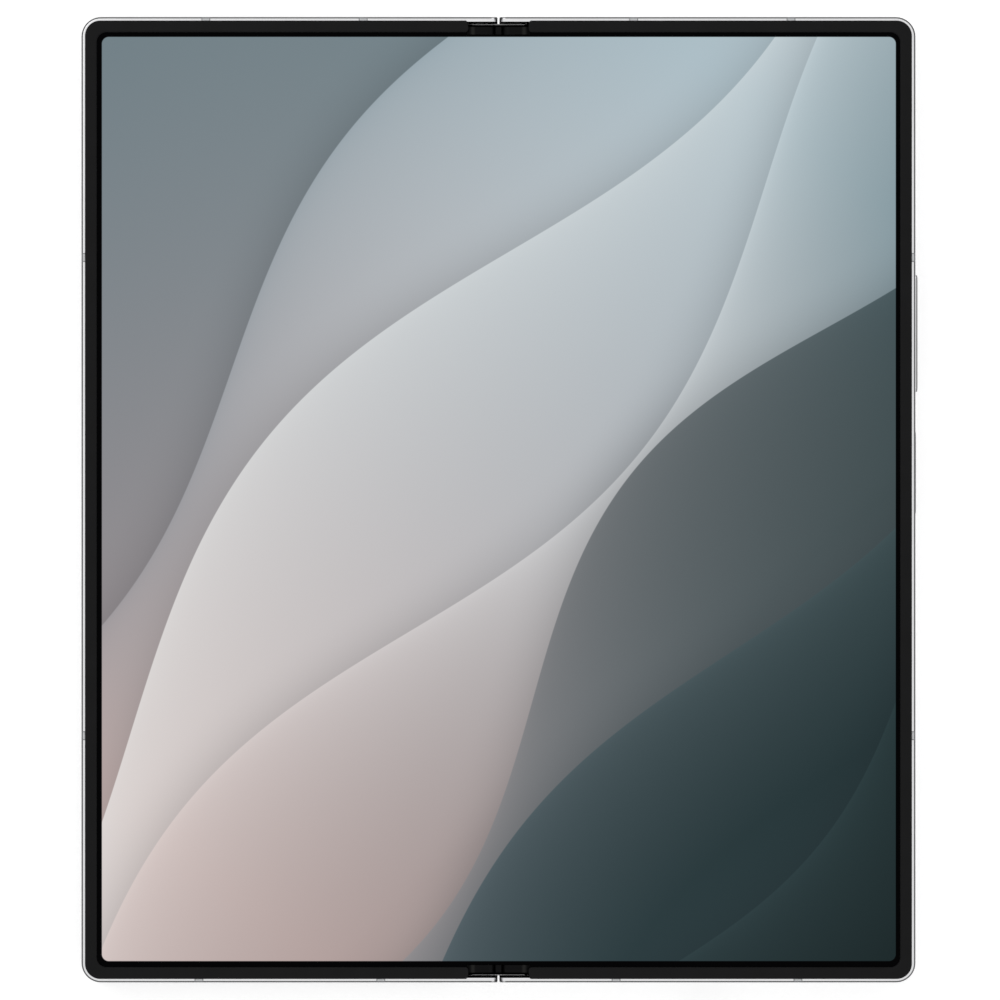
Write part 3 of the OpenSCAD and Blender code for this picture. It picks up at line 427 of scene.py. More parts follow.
def blocks(lows, highs):
    """Plain small blocks from arrays of lowest and highest corners."""
    lows, highs = np.asarray(lows, float), np.asarray(highs, float)
    pick = np.array([[0, 0, 0], [1, 0, 0], [1, 1, 0], [0, 1, 0], [0, 0, 1], [1, 0, 1], [1, 1, 1], [0, 1, 1]])
    points = lows[:, None] + (highs - lows)[:, None] * pick
    faces = np.array([[0, 3, 2, 1], [4, 5, 6, 7], [0, 1, 5, 4], [1, 2, 6, 5], [2, 3, 7, 6], [3, 0, 4, 7]])
    return points, [(faces[None] + 8 * np.arange(len(lows))[:, None, None]).reshape(-1, 4)]


def arc(cx, cz, radius, start, stop, steps):
    """Points on a circle between two angles in degrees."""
    a = np.radians(np.linspace(start, stop, steps))
    return np.stack([cx + radius * np.cos(a), cz + radius * np.sin(a)], -1)


def three_sides(inset, height, radius, start, side):
    """A closed profile carried along the top edge, the outer edge and the bottom edge of a half.
    Each profile point has its distance in from the outer edge, its height, its corner radius and where it
    starts beside the fold. The path's three straights are joined by two quarter circles."""
    inset, height, radius, start = (np.asarray(v, float)[None] for v in (inset, height, radius, start))
    along, around = 8, 17
    cx, cy = HALF_W - inset - radius, TOP_Y - inset - radius
    run = np.linspace(0, 1, along)[:, None] ** 2
    turn = np.linspace(0, math.pi / 2, around)[1:, None]
    x = np.concatenate([start + (cx - start) * run, cx + radius * np.sin(turn)])
    y = np.concatenate([np.broadcast_to(cy + radius, (along, cy.shape[1])), cy + radius * np.cos(turn)])
    x, y = np.concatenate([x, x[::-1]]), np.concatenate([y, -y[::-1]])
    return tube(np.stack([side * x, y, np.broadcast_to(height, x.shape)], -1), *x.shape)


# ------------------------------------------------------------------ finishes on pieces

def dress(finish, *names):
    """Gives carried-over nodes their finish."""
    for name in names:
        node = frame["nodes"][name]
        if not node.material_slots:
            node.data.materials.append(finish.material)
        for slot in node.material_slots:
            slot.material = finish.material


def settle(made, finish, body=None, stands_for=()):
    """A new piece's finish, the body that it rides on and the nodes that it stands for."""
    made.data.materials.append(finish.material)
    if body:
        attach(made, body)
    if stands_for:
        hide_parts(*stands_for)


# ------------------------------------------------------------------ metals

def satin_metal(name, tone, roughness, grain, edge_shade=0.2, depth=0.004, sides=1.0, axis=2, pocket=False):
    """Blasted and anodised aluminium: fine even grain, slow cloudiness in its gloss, and painted shade on its
    rounded edges. Faces across the axis of that number have the tone itself, and the others that tone times
    sides: painted light that makes faces looking other ways lighter or darker. With pocket, the deck beside
    the fold is painted near-black as painted shade in that recess, and the painted edge shade turns the
    corner at the gap between the halves."""
    f = Finish(name, Metallic=1.0, Specular_IOR_Level=0.1)
    x, y, z = f.xyz()
    up = abs(f.facing()[axis])
    # The rounded edges get painted shade: they are darkened in the colour below.
    edge = rounded_edge(up)
    cloud, fine = f.noise(0.12, 3.0), f.noise(grain, 2.0, 0.6)
    if pocket:
        # The painted edge shade also runs along each half's border where the halves meet at the gap.
        plan = rounded_distance(abs(x) - FRAME_MIDDLE[0], y, BODY_HALF_W, TOP_Y, 0.8)
        border = plan.step(-0.24, -0.14) * 0.8 * not_upright(up)
        off_gap = abs(x).step(1.0, 1.2)
        edge = edge * off_gap + border * (1.0 - off_gap)
    light = times((1.0, 1.0, 1.012), tone)
    # dark is the painted shade colour of the rounded edges.
    dark = times((1.0, 1.005, 1.02), tone * edge_shade)
    # Painted light: faces that look off the axis take the tone times sides, lighter or darker than the faces
    # across it.
    flat = f.mix(up.step(0.3, 0.9), times(light, sides), light)
    colour = f.mix(edge, f.mix(cloud * 0.35, flat, times(light, 0.93 * sides)), dark)
    gloss = roughness + cloud * 0.05 + fine * 0.06
    if pocket:
        # Painted shade: the deck in the recess beside the fold is given a near-black, non-metal colour that
        # stands in for the shade there.
        deck_x, wall, deck_z = 5.6, 0.75, REST + 3.0
        painted = (abs(x) < deck_x) * (abs(y) < TOP_Y - wall) * (z > deck_z)
        colour, gloss = f.mix(painted, colour, srgb(4, 4, 5)), gloss + painted * 0.75
        f.set(Metallic=1.0 - painted)
    f.set(Base_Color=f.mix(fine * 0.12, colour, srgb(60, 60, 61)), Roughness=gloss,
          Normal=f.bump(fine, depth))
    return f


def brushed_metal(name, colour, roughness, along, depth=0.003):
    """Drawn metal: noise that is stretched along the grain's direction."""
    f = Finish(name, Metallic=1.0)
    lines = f.noise(1.0, 4.0, 0.7, f.stretched(*along))
    cloud = f.noise(0.3, 2.0)
    grain = f.mix(lines, times(colour, 0.72), times(colour, 1.18))
    f.set(Base_Color=f.mix(cloud * 0.5, grain, (*colour, 1.0)),
          Roughness=roughness + lines * 0.12 + cloud * 0.05, Normal=f.bump(lines, depth))
    return f


def port_steel():
    """Charging port: a drawn steel shell with a black moulded tongue between its two rows of contacts."""
    f = Finish("port_steel_finish", Specular_IOR_Level=0.3)
    x, _, z = f.xyz()
    tongue = (abs(x - PORT_X) < TONGUE_HALF_W) * (abs(z - PORT_Z) < TONGUE_HALF_T)
    lines, fine = f.noise(1.0, 4.0, 0.7, f.stretched(6.0, 0.5, 6.0)), f.noise(8.0, 2.0)
    steel = f.mix(lines, srgb(172, 173, 175), srgb(214, 215, 217))
    f.set(Base_Color=f.mix(tongue, steel, srgb(17, 17, 18)), Metallic=1.0 - tongue,
          Roughness=0.22 + lines * 0.12 + tongue * 0.2, Normal=f.bump(lines + fine * 0.4, 0.003))
    return f


def shield_tin():
    """Tinned steel cans: dull bright metal with a grid of small vent dimples and smudges."""
    f = Finish("shield_finish", Metallic=1.0)
    x, y, _ = f.xyz()
    pitch = 1.6
    dx, dy = x % pitch - pitch / 2, y % pitch - pitch / 2
    dimple = 1.0 - (dx * dx + dy * dy).root().step(0.16, 0.26)
    smudge = f.noise(0.5, 4.0, 0.6)
    tin = f.mix(smudge, srgb(176, 178, 180), srgb(206, 207, 208))
    f.set(Base_Color=f.mix(dimple, tin, srgb(96, 97, 99)), Roughness=0.28 + smudge * 0.2,
          Normal=f.bump(1.0 - dimple, 0.05))
    return f


def copper_winding():
    """Flat wound coil: enamelled copper wire, one ring to each 0.35 mm, each ring paler on its crest as a
    painted highlight and darker between rings as painted shade.
    """
    f = Finish("coil_finish", Metallic=1.0)
    wire = (f.away_from(*COIL) * (2 * math.pi / 0.35)).wave()
    # Painted light: the colour follows the same wave as the bump, paler on each crest and darker in each
    # groove.
    f.set(Base_Color=f.mix(wire, srgb(122, 66, 38), srgb(214, 136, 92)), Roughness=0.25 + (1.0 - wire) * 0.25,
          Normal=f.bump(wire, 0.06))
    return f


def speaker_gauze():
    """Woven black steel gauze behind the loudspeaker's and the microphones' holes."""
    f = Finish("gauze_finish", Metallic=0.7)
    x, _, z = f.xyz()
    wires = ((x * 42.0).sine() * (z * 42.0).sine()) * 0.5 + 0.5
    f.set(Base_Color=f.mix(wires, srgb(16, 16, 17), srgb(74, 75, 77)), Roughness=0.5 - wires * 0.15,
          Normal=f.bump(wires, 0.03))
    return f


# ------------------------------------------------------------------ plastics, films and boards

def plastic(name, dark, light, roughness, grain=6.0, specular=0.4, depth=0.008):
    """Moulded plastic: two close tones in slow clouds, and a fine etched grain."""
    f = Finish(name, Specular_IOR_Level=specular)
    fine, cloud = f.noise(grain, 2.0, 0.6), f.noise(0.4, 3.0)
    f.set(Base_Color=f.mix(cloud, dark, light), Roughness=roughness + fine * 0.12, Normal=f.bump(fine, depth))
    return f


def bezel_plastic():
    """Moulded bezel: near-black soft-touch plastic with a fine spark texture."""
    f = Finish("bezel_plastic_finish", Specular_IOR_Level=0.07)
    pores, cloud = f.cells(9.0), f.noise(0.25, 3.0)
    f.set(Base_Color=f.mix(cloud, srgb(20, 20, 20), srgb(26, 26, 27)),
          Roughness=0.42 + pores * 0.12 + cloud * 0.06, Normal=f.bump(pores, 0.010, 0.6))
    return f


def antenna_plastic():
    """Antenna breaks: pale moulded plastic with a fine dark joint along both sides of each break, and painted
    shade on the rounded edge like the metal's. The joint goes by the distance along the rail from the break's
    middle."""
    f = Finish("antenna_plastic_finish", Specular_IOR_Level=0.4)
    x, y, _ = f.xyz()

    def nearest(along, first, second):
        return abs(along - first).least(abs(along - second))

    wide = abs(x)
    side, top = wide > HALF_W - 1.0, y > 0.0
    ends = top * nearest(wide, *TOP_BREAKS) + (1.0 - top) * nearest(wide, *BOTTOM_BREAKS)
    joint = (side * nearest(y, *SIDE_BREAKS) + (1.0 - side) * ends).step(0.50, 0.62)
    fine = f.noise(6.0, 2.0, 0.6)
    # dark joins the real dark joint with painted shade on the rounded edges.
    dark = (joint * 0.75).most(rounded_edge(abs(f.facing()[2])) * 0.85)
    pale = f.mix(fine, srgb(224, 225, 227), srgb(233, 234, 236))
    f.set(Base_Color=f.mix(dark, pale, srgb(84, 85, 87)), Roughness=0.42 + fine * 0.12,
          Normal=f.bump(fine - joint, 0.01))
    return f


def cap_black():
    """Caps beside the fold: satin near-black with a fine grain, a paler band near their outer ends as a
    painted highlight where the curved cap catches a gleam, and painted shade as deep black on the bevel
    beside the bright trim."""
    f = Finish("fold_cap_finish", Specular_IOR_Level=0.05)
    x, y, _ = f.xyz()
    # Painted shade: the bevel beside the trim is made black and metallic, standing in for the shade on it.
    bevel = abs(y).step(75.12, 75.20) * f.facing()[2].step(0.2, 0.5)
    fine, cloud = f.noise(8.0, 2.0, 0.6), f.noise(0.4, 3.0)
    # Painted highlight: a paler band 3.6 to 4.5 mm from the middle stands in for the gleam of the curved cap.
    painted_gleam = abs(x).step(3.6, 4.0) * (1.0 - abs(x).step(4.15, 4.5))
    tone = f.mix(painted_gleam * 0.45, f.mix(cloud, srgb(9, 9, 9), srgb(14, 14, 15)), srgb(52, 52, 50))
    f.set(Base_Color=f.mix(bevel, tone, srgb(3, 3, 3)), Metallic=bevel, Roughness=0.28 + fine * 0.12,
          Normal=f.bump(fine, 0.003))
    return f


def circuit_board():
    """Green solder mask with runs of tracks, vias and bare pads."""
    f = Finish("board_finish", Specular_IOR_Level=0.5, Coat_Weight=0.3)
    tracks = f.node("ShaderNodeTexBrick", {"offset": 0.37, "squash": 0.6}, Vector=f.place(), Scale=0.9,
                    Color1=srgb(22, 74, 48), Color2=srgb(30, 92, 58), Mortar=srgb(14, 52, 34),
                    Mortar_Size=0.05, Brick_Width=2.2, Row_Height=0.5)
    pads = 1.0 - f.cells(1.1).step(0.10, 0.14)
    f.set(Base_Color=f.mix(pads, tracks, srgb(206, 178, 110)), Metallic=pads * 0.9,
          Roughness=0.38 - pads * 0.12, Normal=f.bump(tracks.out(1) + pads, 0.02))
    return f


def battery_film():
    """Pouch cell in black film: fine weave and soft wrinkles."""
    f = Finish("battery_finish", Specular_IOR_Level=0.35)
    x, y, _ = f.xyz()
    weave = ((x * 12.0).sine() * (y * 12.0).sine()) * 0.5 + 0.5
    wrinkle = f.noise(0.18, 4.0, 0.6)
    f.set(Base_Color=f.mix(wrinkle, srgb(26, 27, 30), srgb(44, 45, 49)), Roughness=0.42 + weave * 0.12,
          Normal=f.bump(weave * 0.2 + wrinkle, 0.06))
    return f


def polyimide():
    """Amber flexible circuit with parallel copper tracks under its film, one to each 0.7 mm."""
    f = Finish("flex_finish", Specular_IOR_Level=0.5, Coat_Weight=0.25)
    _, y, _ = f.xyz()
    track = (y * (2 * math.pi / 0.7)).wave().step(0.35, 0.65)
    fine = f.noise(3.0, 2.0)
    f.set(Base_Color=f.mix(track, srgb(196, 118, 40), srgb(150, 82, 34)), Metallic=track * 0.35,
          Roughness=0.32 + fine * 0.1, Normal=f.bump(track, 0.012))
    return f


# ------------------------------------------------------------------ glass, lenses and screens

def frosted_glass():
    """Etched back glass: a silver-white ground behind a matt face, with slow waves and a faint painted
    sparkle: pale specks that stand in for glints.
    """
    f = Finish("back_glass_finish", Coat_Roughness=0.32, Coat_IOR=1.5, Specular_IOR_Level=0.45)
    spark, wave, fine = f.cells(7.0), f.noise(0.035, 2.0), f.noise(12.0, 2.0, 0.6)
    ground = f.mix(wave, srgb(212, 214, 217), srgb(219, 220, 222))
    # Painted glints: the paler specks in the colour stand in for the glass's sparkle.
    f.set(Base_Color=f.mix((1.0 - spark).step(0.72, 0.95) * 0.35, ground, srgb(244, 245, 248)),
          Metallic=0.30 + fine * 0.06, Roughness=0.36 + fine * 0.08, Coat_Weight=0.25 + fine * 0.1,
          Normal=f.bump(fine, 0.002))
    return f


def cover_glass_black():
    """Outer screen, off: polished black glass over a faintly lighter active area, with a small camera
    behind a round window, and a slit for the earpiece near the top edge."""
    f = Finish("cover_glass_finish", Roughness=0.06, Specular_IOR_Level=0.18)
    x, y, _ = f.xyz()
    active_x, active_y, active_r = 27.6, 73.6, 2.2
    inside = 1.0 - rounded_distance(x + COVER_X, y, active_x, active_y, active_r).step(-0.12, 0.12)
    fine = f.noise(20.0, 1.0)
    ground = f.mix(inside, srgb(5, 5, 6), f.mix(fine, srgb(12, 12, 14), srgb(15, 15, 17)))
    far, lens_r = f.away_from(*COVER_LENS), 2.0
    window = 1.0 - far.step(lens_r - 0.05, lens_r + 0.05)
    # The lens is drawn in rings round a bluish middle; its lighter rings are painted highlights.
    lens = f.ramp(far / lens_r, (0.0, srgb(20, 22, 44)), (0.16, srgb(26, 30, 60)), (0.30, srgb(6, 6, 12)),
                  (0.44, srgb(34, 36, 42)), (0.50, srgb(4, 4, 5)), (1.0, srgb(2, 2, 2)))
    slit_y, slit_half_l, slit_r = 74.9, 4.6, 0.16
    slit = 1.0 - rounded_distance(x + COVER_X, y - slit_y, slit_half_l, slit_r, slit_r).step(-0.03, 0.03)
    f.set(Base_Color=f.mix(slit, f.mix(window, ground, lens), srgb(46, 47, 49)),
          Coat_Weight=0.15 + window * 0.2, Normal=f.bump(f.noise(0.02, 1.0), 0.004))
    return f


def display():
    """Main screen, on: a picture of soft overlapping ribbons inside a black border.
    Each ribbon's edge is a sine wave over a slanted axis; its colour runs from cool at the upper right to
    warm at the lower left, and from its edge to its depth. The ribbon below is darker beside the edge."""
    f = Finish("main_screen_finish", Base_Color=srgb(2, 2, 3), Roughness=0.12, Specular_IOR_Level=0.015,
               Emission_Strength=1.0)
    u, v, _ = f.parts(f.node("ShaderNodeUVMap", {"uv_map": "UVMap"}))
    x, y = u * PICTURE_W - PICTURE_W / 2, v * PICTURE_H - PICTURE_H / 2
    slant_x, slant_y, span, shadow_w = 0.62, 0.785, 150.0, 9.0
    along, across = x * slant_x + y * slant_y, y * slant_x - x * slant_y
    warm = (0.5 - along / span).clamp()
    picture = f.mix((0.62 - across / span).clamp(),
                    f.mix(warm, srgb(106, 126, 133), srgb(128, 134, 140)),
                    f.mix(warm, srgb(122, 141, 149), srgb(186, 158, 154)))
    ribbons = [
        # offset, swing, wave, phase, depth, cool edge, cool deep, warm edge, warm deep
        (46, 9, 26, 0.4, 34, (150, 170, 179), (176, 193, 201), (158, 150, 152), (196, 176, 172)),
        (23, 12, 31, 2.1, 40, (196, 208, 213), (160, 178, 187), (222, 216, 214), (204, 190, 187)),
        (-2, 11, 29, 4.0, 36, (190, 204, 210), (118, 140, 148), (216, 203, 200), (176, 158, 155)),
        (-24, 10, 24, 0.9, 30, (66, 86, 91), (40, 60, 62), (150, 146, 148), (112, 118, 122)),
        (-44, 9, 27, 3.0, 26, (52, 72, 74), (26, 42, 43), (88, 100, 106), (48, 64, 68)),
        (-66, 8, 22, 5.2, 24, (36, 54, 55), (22, 34, 34), (52, 68, 72), (30, 42, 44)),
    ]
    for offset, swing, wave, phase, depth, cool_edge, cool_deep, warm_edge, warm_deep in ribbons:
        over = across - (offset + swing * (along / wave + phase).sine())
        inside = 1.0 - over.step(-0.09, 0.09)
        shadow = (1.0 - over / shadow_w).clamp()
        below = f.mix(shadow * shadow * 0.20, picture, srgb(30, 38, 42))
        deep = (-over / depth).clamp().root()
        colour = f.mix(deep, f.mix(warm, srgb(*cool_edge), srgb(*warm_edge)),
                       f.mix(warm, srgb(*cool_deep), srgb(*warm_deep)))
        picture = f.mix(inside, below, colour)
    aside, up = ACTIVE_MIDDLE
    border = rounded_distance(x - aside, y - up, ACTIVE_X, ACTIVE_Y, ACTIVE_R).step(-0.06, 0.06)
    f.set(Emission_Color=f.mix(1.0 - border, BLACK, picture))
    return f


def lens_distance(f):
    """Distance in plan from the nearest of the three lens axes, mm: the row repeats at its pitch."""
    x, y, _ = f.xyz()
    row = (y - LENS_Y + LENS_PITCH / 2) % LENS_PITCH - LENS_PITCH / 2
    return ((x - LENS_X) * (x - LENS_X) + row * row).root()


def lens_coating():
    """Coated front element: rings of violet, blue and green by distance from the middle of each lens."""
    f = Finish("lens_coating_finish", Metallic=0.75, Roughness=0.03, Specular_IOR_Level=0.25)
    rings = f.ramp(lens_distance(f) / 2.0, (0.0, srgb(6, 8, 20)), (0.18, srgb(30, 22, 84)),
                   (0.42, srgb(16, 58, 122)), (0.62, srgb(14, 88, 84)), (0.82, srgb(70, 30, 88)),
                   (1.0, srgb(6, 6, 9)))
    f.set(Base_Color=rings, Normal=f.bump(f.noise(0.6, 1.0), 0.002))
    return f


def lens_barrel():
    """Stepped baffle behind each lens's window: black steps with a finely turned, paler edge to each."""
    f = Finish("lens_barrel_finish", Metallic=0.6, Specular_IOR_Level=0.3)
    far = lens_distance(f)
    lip = ((far - BAFFLE_R) / BAFFLE_STEP % 1.0).step(0.80, 0.97)
    turning = (far * 90.0).wave()
    f.set(Base_Color=f.mix(lip, srgb(7, 7, 8), srgb(104, 106, 112)), Roughness=0.28 + turning * 0.2,
          Normal=f.bump(turning, 0.002))
    return f


def sapphire():
    """Polished lens window: clear, with the slightest unevenness of its face."""
    f = Finish("lens_window_finish", Base_Color=(0.96, 0.97, 0.98, 1.0), Roughness=0.0, IOR=1.2,
               Transmission_Weight=1.0)
    f.set(Normal=f.bump(f.noise(0.3, 1.0), 0.001))
    return f


def fresnel_flash():
    """Flash lens: milky plastic with fine rings, yellow in the middle where the phosphor is."""
    f = Finish("flash_finish", Specular_IOR_Level=0.6, Coat_Weight=0.4)
    far = f.away_from(*FLASH)
    rings, glow = (far * 24.0).wave(), 1.0 - far.step(0.2, 0.9)
    f.set(Base_Color=f.mix(glow, srgb(226, 224, 212), srgb(238, 214, 120)), Roughness=0.18 + rings * 0.1,
          Normal=f.bump(rings, 0.02))
    return f


# ------------------------------------------------------------------ floor and world

def floor_white():
    """Pale studio floor. It is lit as paper is and keeps shadows. Only a camera above it sees it: mirrors,
    lenses and the phone's back look through it at the same white, and so does a camera below it."""
    f = Finish("floor_finish", Base_Color=(0.80, 0.80, 0.80, 1.0), Roughness=0.9, Specular_IOR_Level=0.1)
    f.set(Normal=f.bump(f.noise(0.02, 2.0), 0.01))
    above = 1.0 - f.node("ShaderNodeNewGeometry").out("Backfacing")
    seen = f.node("ShaderNodeLightPath").out("Is Camera Ray") * above
    glow = f.node("ShaderNodeEmission", None, Color=WHITE, Strength=0.50)
    lit = f.node("ShaderNodeAddShader", None, Wire(f, f.shader.outputs[0]), glow)
    clear = f.node("ShaderNodeBsdfTransparent", None, Color=WHITE)
    f.put(f.output.inputs[0], f.node("ShaderNodeMixShader", None, seen, clear, lit))
    return f


def world():
    """White where the camera, a mirror or a lens sees it, and a plainer grey as a light."""
    made = bpy.data.worlds.new("studio")
    nodes = Nodes(made, "ShaderNodeOutputWorld")
    path = nodes.node("ShaderNodeLightPath")
    seen = path.out("Is Camera Ray").most(path.out("Is Glossy Ray")).most(path.out("Is Transmission Ray"))
    light = nodes.node("ShaderNodeBackground", None, WHITE, 0.62)
    white = nodes.node("ShaderNodeBackground", None, WHITE, 1.0)
    nodes.put(nodes.output.inputs[0], nodes.node("ShaderNodeMixShader", None, seen, light, white))
    bpy.context.scene.world = made


def floor(finish):
    """The plane that the phone lies on."""
    bpy.ops.mesh.primitive_plane_add(size=6)
    made = bpy.context.object
    made.name = "floor"
    made.data.materials.append(finish.material)


# ------------------------------------------------------------------ pieces

def screen_half(name, side, finish, stands_for):
    """One half of the main screen, from the fold line to under the bezel.
    Columns run across the fold, close together where the screen bends. Each column spans plus and minus
    the screen's height there, which steps out beside the hinge ends and follows a quarter circle at the
    corner."""
    r, step = 1.6, HINGE_X + 0.03           # corner radius, and where the height steps out
    bend = np.linspace(0, 7.5, 31)
    bend[20] = step                         # the column nearest to the step moves onto it
    middle = np.linspace(9, 62, 22)
    corner = np.linspace(0, math.pi / 2, 9)
    xs = np.concatenate([bend, [step + 0.005], middle, SCREEN_X - r + r * np.sin(corner)])
    tall = np.concatenate([np.where(bend > step + 0.001, SCREEN_Y, STRIP_Y),
                           np.full(len(middle) + 1, SCREEN_Y), SCREEN_Y - r + r * np.cos(corner)])
    order = np.argsort(xs, kind="stable")
    xs, tall = side * xs[order], tall[order]
    share = np.linspace(-1, 1, 33)
    top = np.stack(np.broadcast_arrays(xs[:, None], tall[:, None] * share, SCREEN_TOP), -1)
    low = top - (0, 0, SCREEN_TOP - SCREEN_LOW)
    rows, n = len(xs), len(share)
    rim = np.concatenate([np.arange(n), np.arange(1, rows) * n + n - 1,
                          (rows - 1) * n + np.arange(n - 2, -1, -1), np.arange(rows - 2, 0, -1) * n])
    after = np.roll(rim, -1)
    sides = np.stack([rim, after, after + rows * n, rim + rows * n], -1)
    points = np.concatenate([top.reshape(-1, 3), low.reshape(-1, 3)])
    groups = [skin(rows, n), skin(rows, n, first=rows * n)[:, ::-1], sides]
    made = shell(name, [(points, groups)], uv=lambda p: p[:, :2] / (PICTURE_W, PICTURE_H) + 0.5)
    settle(made, finish, stands_for=stands_for)
    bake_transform(made)


def bezel_ring(name, side, finish, body, node):
    """The raised frame round half of the screen: a low profile with round shoulders, carried round three
    sides. Beside the hinge its inner corner is rounded in plan and its outer one bevelled: each profile
    point starts further from the fold the nearer it is to that corner."""
    outer, inner, top = 0.60, 2.48, 5.95 + REST                     # inset of its sides, and its height
    outer_r, inner_r = 0.22, 0.28                                   # radii of its shoulders
    root, seat, foot, lip = 0.67, 1.19, 5.02 + REST, 5.515 + REST   # the part that stands in the frame
    over_screen = SCREEN_TOP + 0.005
    flat = np.linspace(outer + outer_r, inner - inner_r, 15)[1:-1]
    profile = np.concatenate([[(root, foot), (root, lip), (outer, lip)],
                              arc(outer + outer_r, top - outer_r, outer_r, 180, 90, 6),
                              np.stack([flat, np.full(len(flat), top)], -1),
                              arc(inner - inner_r, top - inner_r, inner_r, 90, 0, 7),
                              [(inner, over_screen), (seat, over_screen), (seat, foot)]])
    inset, height = profile.T
    corner = np.interp(inset, [outer, inner], [2.43, 1.55])
    round_r, bevel = 0.55, 0.5
    short = np.clip(inset - (inner - round_r), 0, round_r)
    start = HINGE_X - 0.2 + round_r - np.sqrt(round_r ** 2 - short ** 2)
    start = start + 0.7 * np.clip(outer + bevel - inset, 0, bevel)
    made = shell(name, [three_sides(inset, height, corner, start, side)], soft=50)
    settle(made, finish, body, [node])


def key(name, node, finish, inner):
    """A key in the rail: a bar with round ends, a foot flange at inner, a soft edge and a slightly hollow
    face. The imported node's box is the bar's with a wider flange round it."""
    _, (outer, high_y, high_z), (_, y, z) = corners(node)
    flange_l, flange_w, soft = 0.5, 0.3, 0.28
    half_l, half_w = high_y - y - flange_l, high_z - z - flange_w
    around = np.radians(np.linspace(0, 90, 7))
    # each row is an inset and an x, from the flange to the hollow in the face
    rows = [(-soft, inner - 0.38), (-soft, inner - 0.02), (0.0, inner)]
    rows += [(soft * (1 - math.cos(a)), outer - soft + soft * math.sin(a)) for a in around]
    rows += [(0.45, outer - 0.015), (0.7, outer - 0.035)]
    loops = [rounded_loop(y - half_l, y + half_l, z - half_w, z + half_w, half_w, inset) for inset, _ in rows]
    points, groups = stack(loops, [x for _, x in rows])
    made = shell(name, [(points[:, [2, 0, 1]], groups)], soft=40)
    settle(made, finish, node, [node])


def flex_tongue(name, side, finish):
    """Half of the two circuits that cross the fold: a thin ribbon whose line drops from the board's
    connector, passes under the hinge-side wall and lies in the spine. The line is resampled evenly and
    given its thickness."""
    run = np.concatenate([[0], np.cumsum(np.hypot(*np.diff(FLEX_LINE, axis=0).T))])
    even = np.linspace(0, run[-1], 90)
    x, z = (np.interp(even, run, line) for line in FLEX_LINE.T)
    thick = np.array([0, FLEX_T, FLEX_T, 0])
    parts = []
    for y0, y1 in FLEX_SPANS:
        points = np.broadcast_arrays(side * x[:, None], np.array([y0, y0, y1, y1]), z[:, None] + thick)
        parts.append(tube(np.stack(points, -1), len(even), len(thick)))
    made = shell(name, parts)
    settle(made, finish, stands_for=["hinge_flex_cables"])
    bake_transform(made)


def lens_stack(glass, print_black, barrel, coating):
    """The three rear lenses from outside in: a slightly crowned window, a printed black ring on its inner
    face, a stepped light baffle, and a crowned front element. All are profiles turned about the axis."""
    crown_r, element_r = 5.2, 1.98
    crown = np.linspace(0, crown_r, 9)
    window = [(0, 0.2), *zip(crown[1:], 0.2 + 0.03 * (crown[1:] / crown_r) ** 2), (5.4, 0.27), (5.49, 0.36),
              (5.49, 0.6), (0, 0.6)]
    ring = [(3.2, 0.62), (5.45, 0.62), (5.45, 0.78), (3.2, 0.78)]
    steps = np.arange(5)
    inner, height = BAFFLE_R - BAFFLE_STEP * steps, 0.84 + 0.05 * steps
    baffle = [(3.32, 1.16), (3.32, 0.82), *np.stack([np.repeat(inner, 2)[:-1], np.repeat(height, 2)[1:]], -1),
              (inner[-1], 1.16)]
    r = np.linspace(0, element_r, 12)
    element = [(0, 0.90), *zip(r[1:], 0.90 + 0.15 * (r[1:] / element_r) ** 2), (element_r, 1.14), (0, 1.14)]
    for name, profile, finish, slot, stands_for in [
            ("lens_windows", window, glass, "lens_glass", ["camera_windows"]),
            ("lens_print", ring, print_black, "camera_black", []),
            ("lens_baffles", baffle, barrel, "camera_black", []),
            ("lens_elements", element, coating, "lens_glass", [])]:
        made = shell(name, [turned(profile, (LENS_X, LENS_Y + k * LENS_PITCH)) for k in (-1, 0, 1)], soft=28)
        settle(made, finish, "main_half", stands_for)


def flash_lens(finish):
    """The flash: a round lens whose face is cut in rings, a saw wave over the radius."""
    face_z, inner_z = REST + 0.005, corners("flash_led")[1][2] - 0.02
    face_r, outer_r, depth, rings = 1.22, 1.29, 0.05, 6.5       # depth of the rings, and rings to the mm
    r = np.linspace(0, face_r, 40)
    saw = depth * np.mod(r * rings, 1.0) * np.clip(r / 0.2, 0, 1)
    profile = [(0, face_z), *zip(r[1:], face_z + saw[1:]), (outer_r - 0.01, REST + 0.01),
               (outer_r, REST + 0.08), (outer_r, inner_z), (0, inner_z)]
    made = shell("flash_lens", [turned(profile, FLASH, 48)], soft=28)
    settle(made, finish, "main_half", ["flash_led"])


def port_contacts(finish):
    """Twelve plated contacts on each face of the charging port's tongue, half a millimetre apart. The
    first, the last and two between them reach further in."""
    number, pitch, half_w, thick = np.arange(12), 0.5, 0.13, 0.03
    x = PORT_X + (number - 5.5) * pitch
    outer_end, inner_end = -75.5, np.where(np.isin(number, [0, 3, 8, 11]), -72.2, -72.7)
    lows, highs = [], []
    for z in (PORT_Z + TONGUE_HALF_T - 0.02, PORT_Z - TONGUE_HALF_T - 0.01):
        lows.append(np.stack(np.broadcast_arrays(x - half_w, outer_end, z), -1))
        highs.append(np.stack(np.broadcast_arrays(x + half_w, inner_end, z + thick), -1))
    made = shell("port_contacts", [blocks(np.concatenate(lows), np.concatenate(highs))])
    settle(made, finish, "main_half")


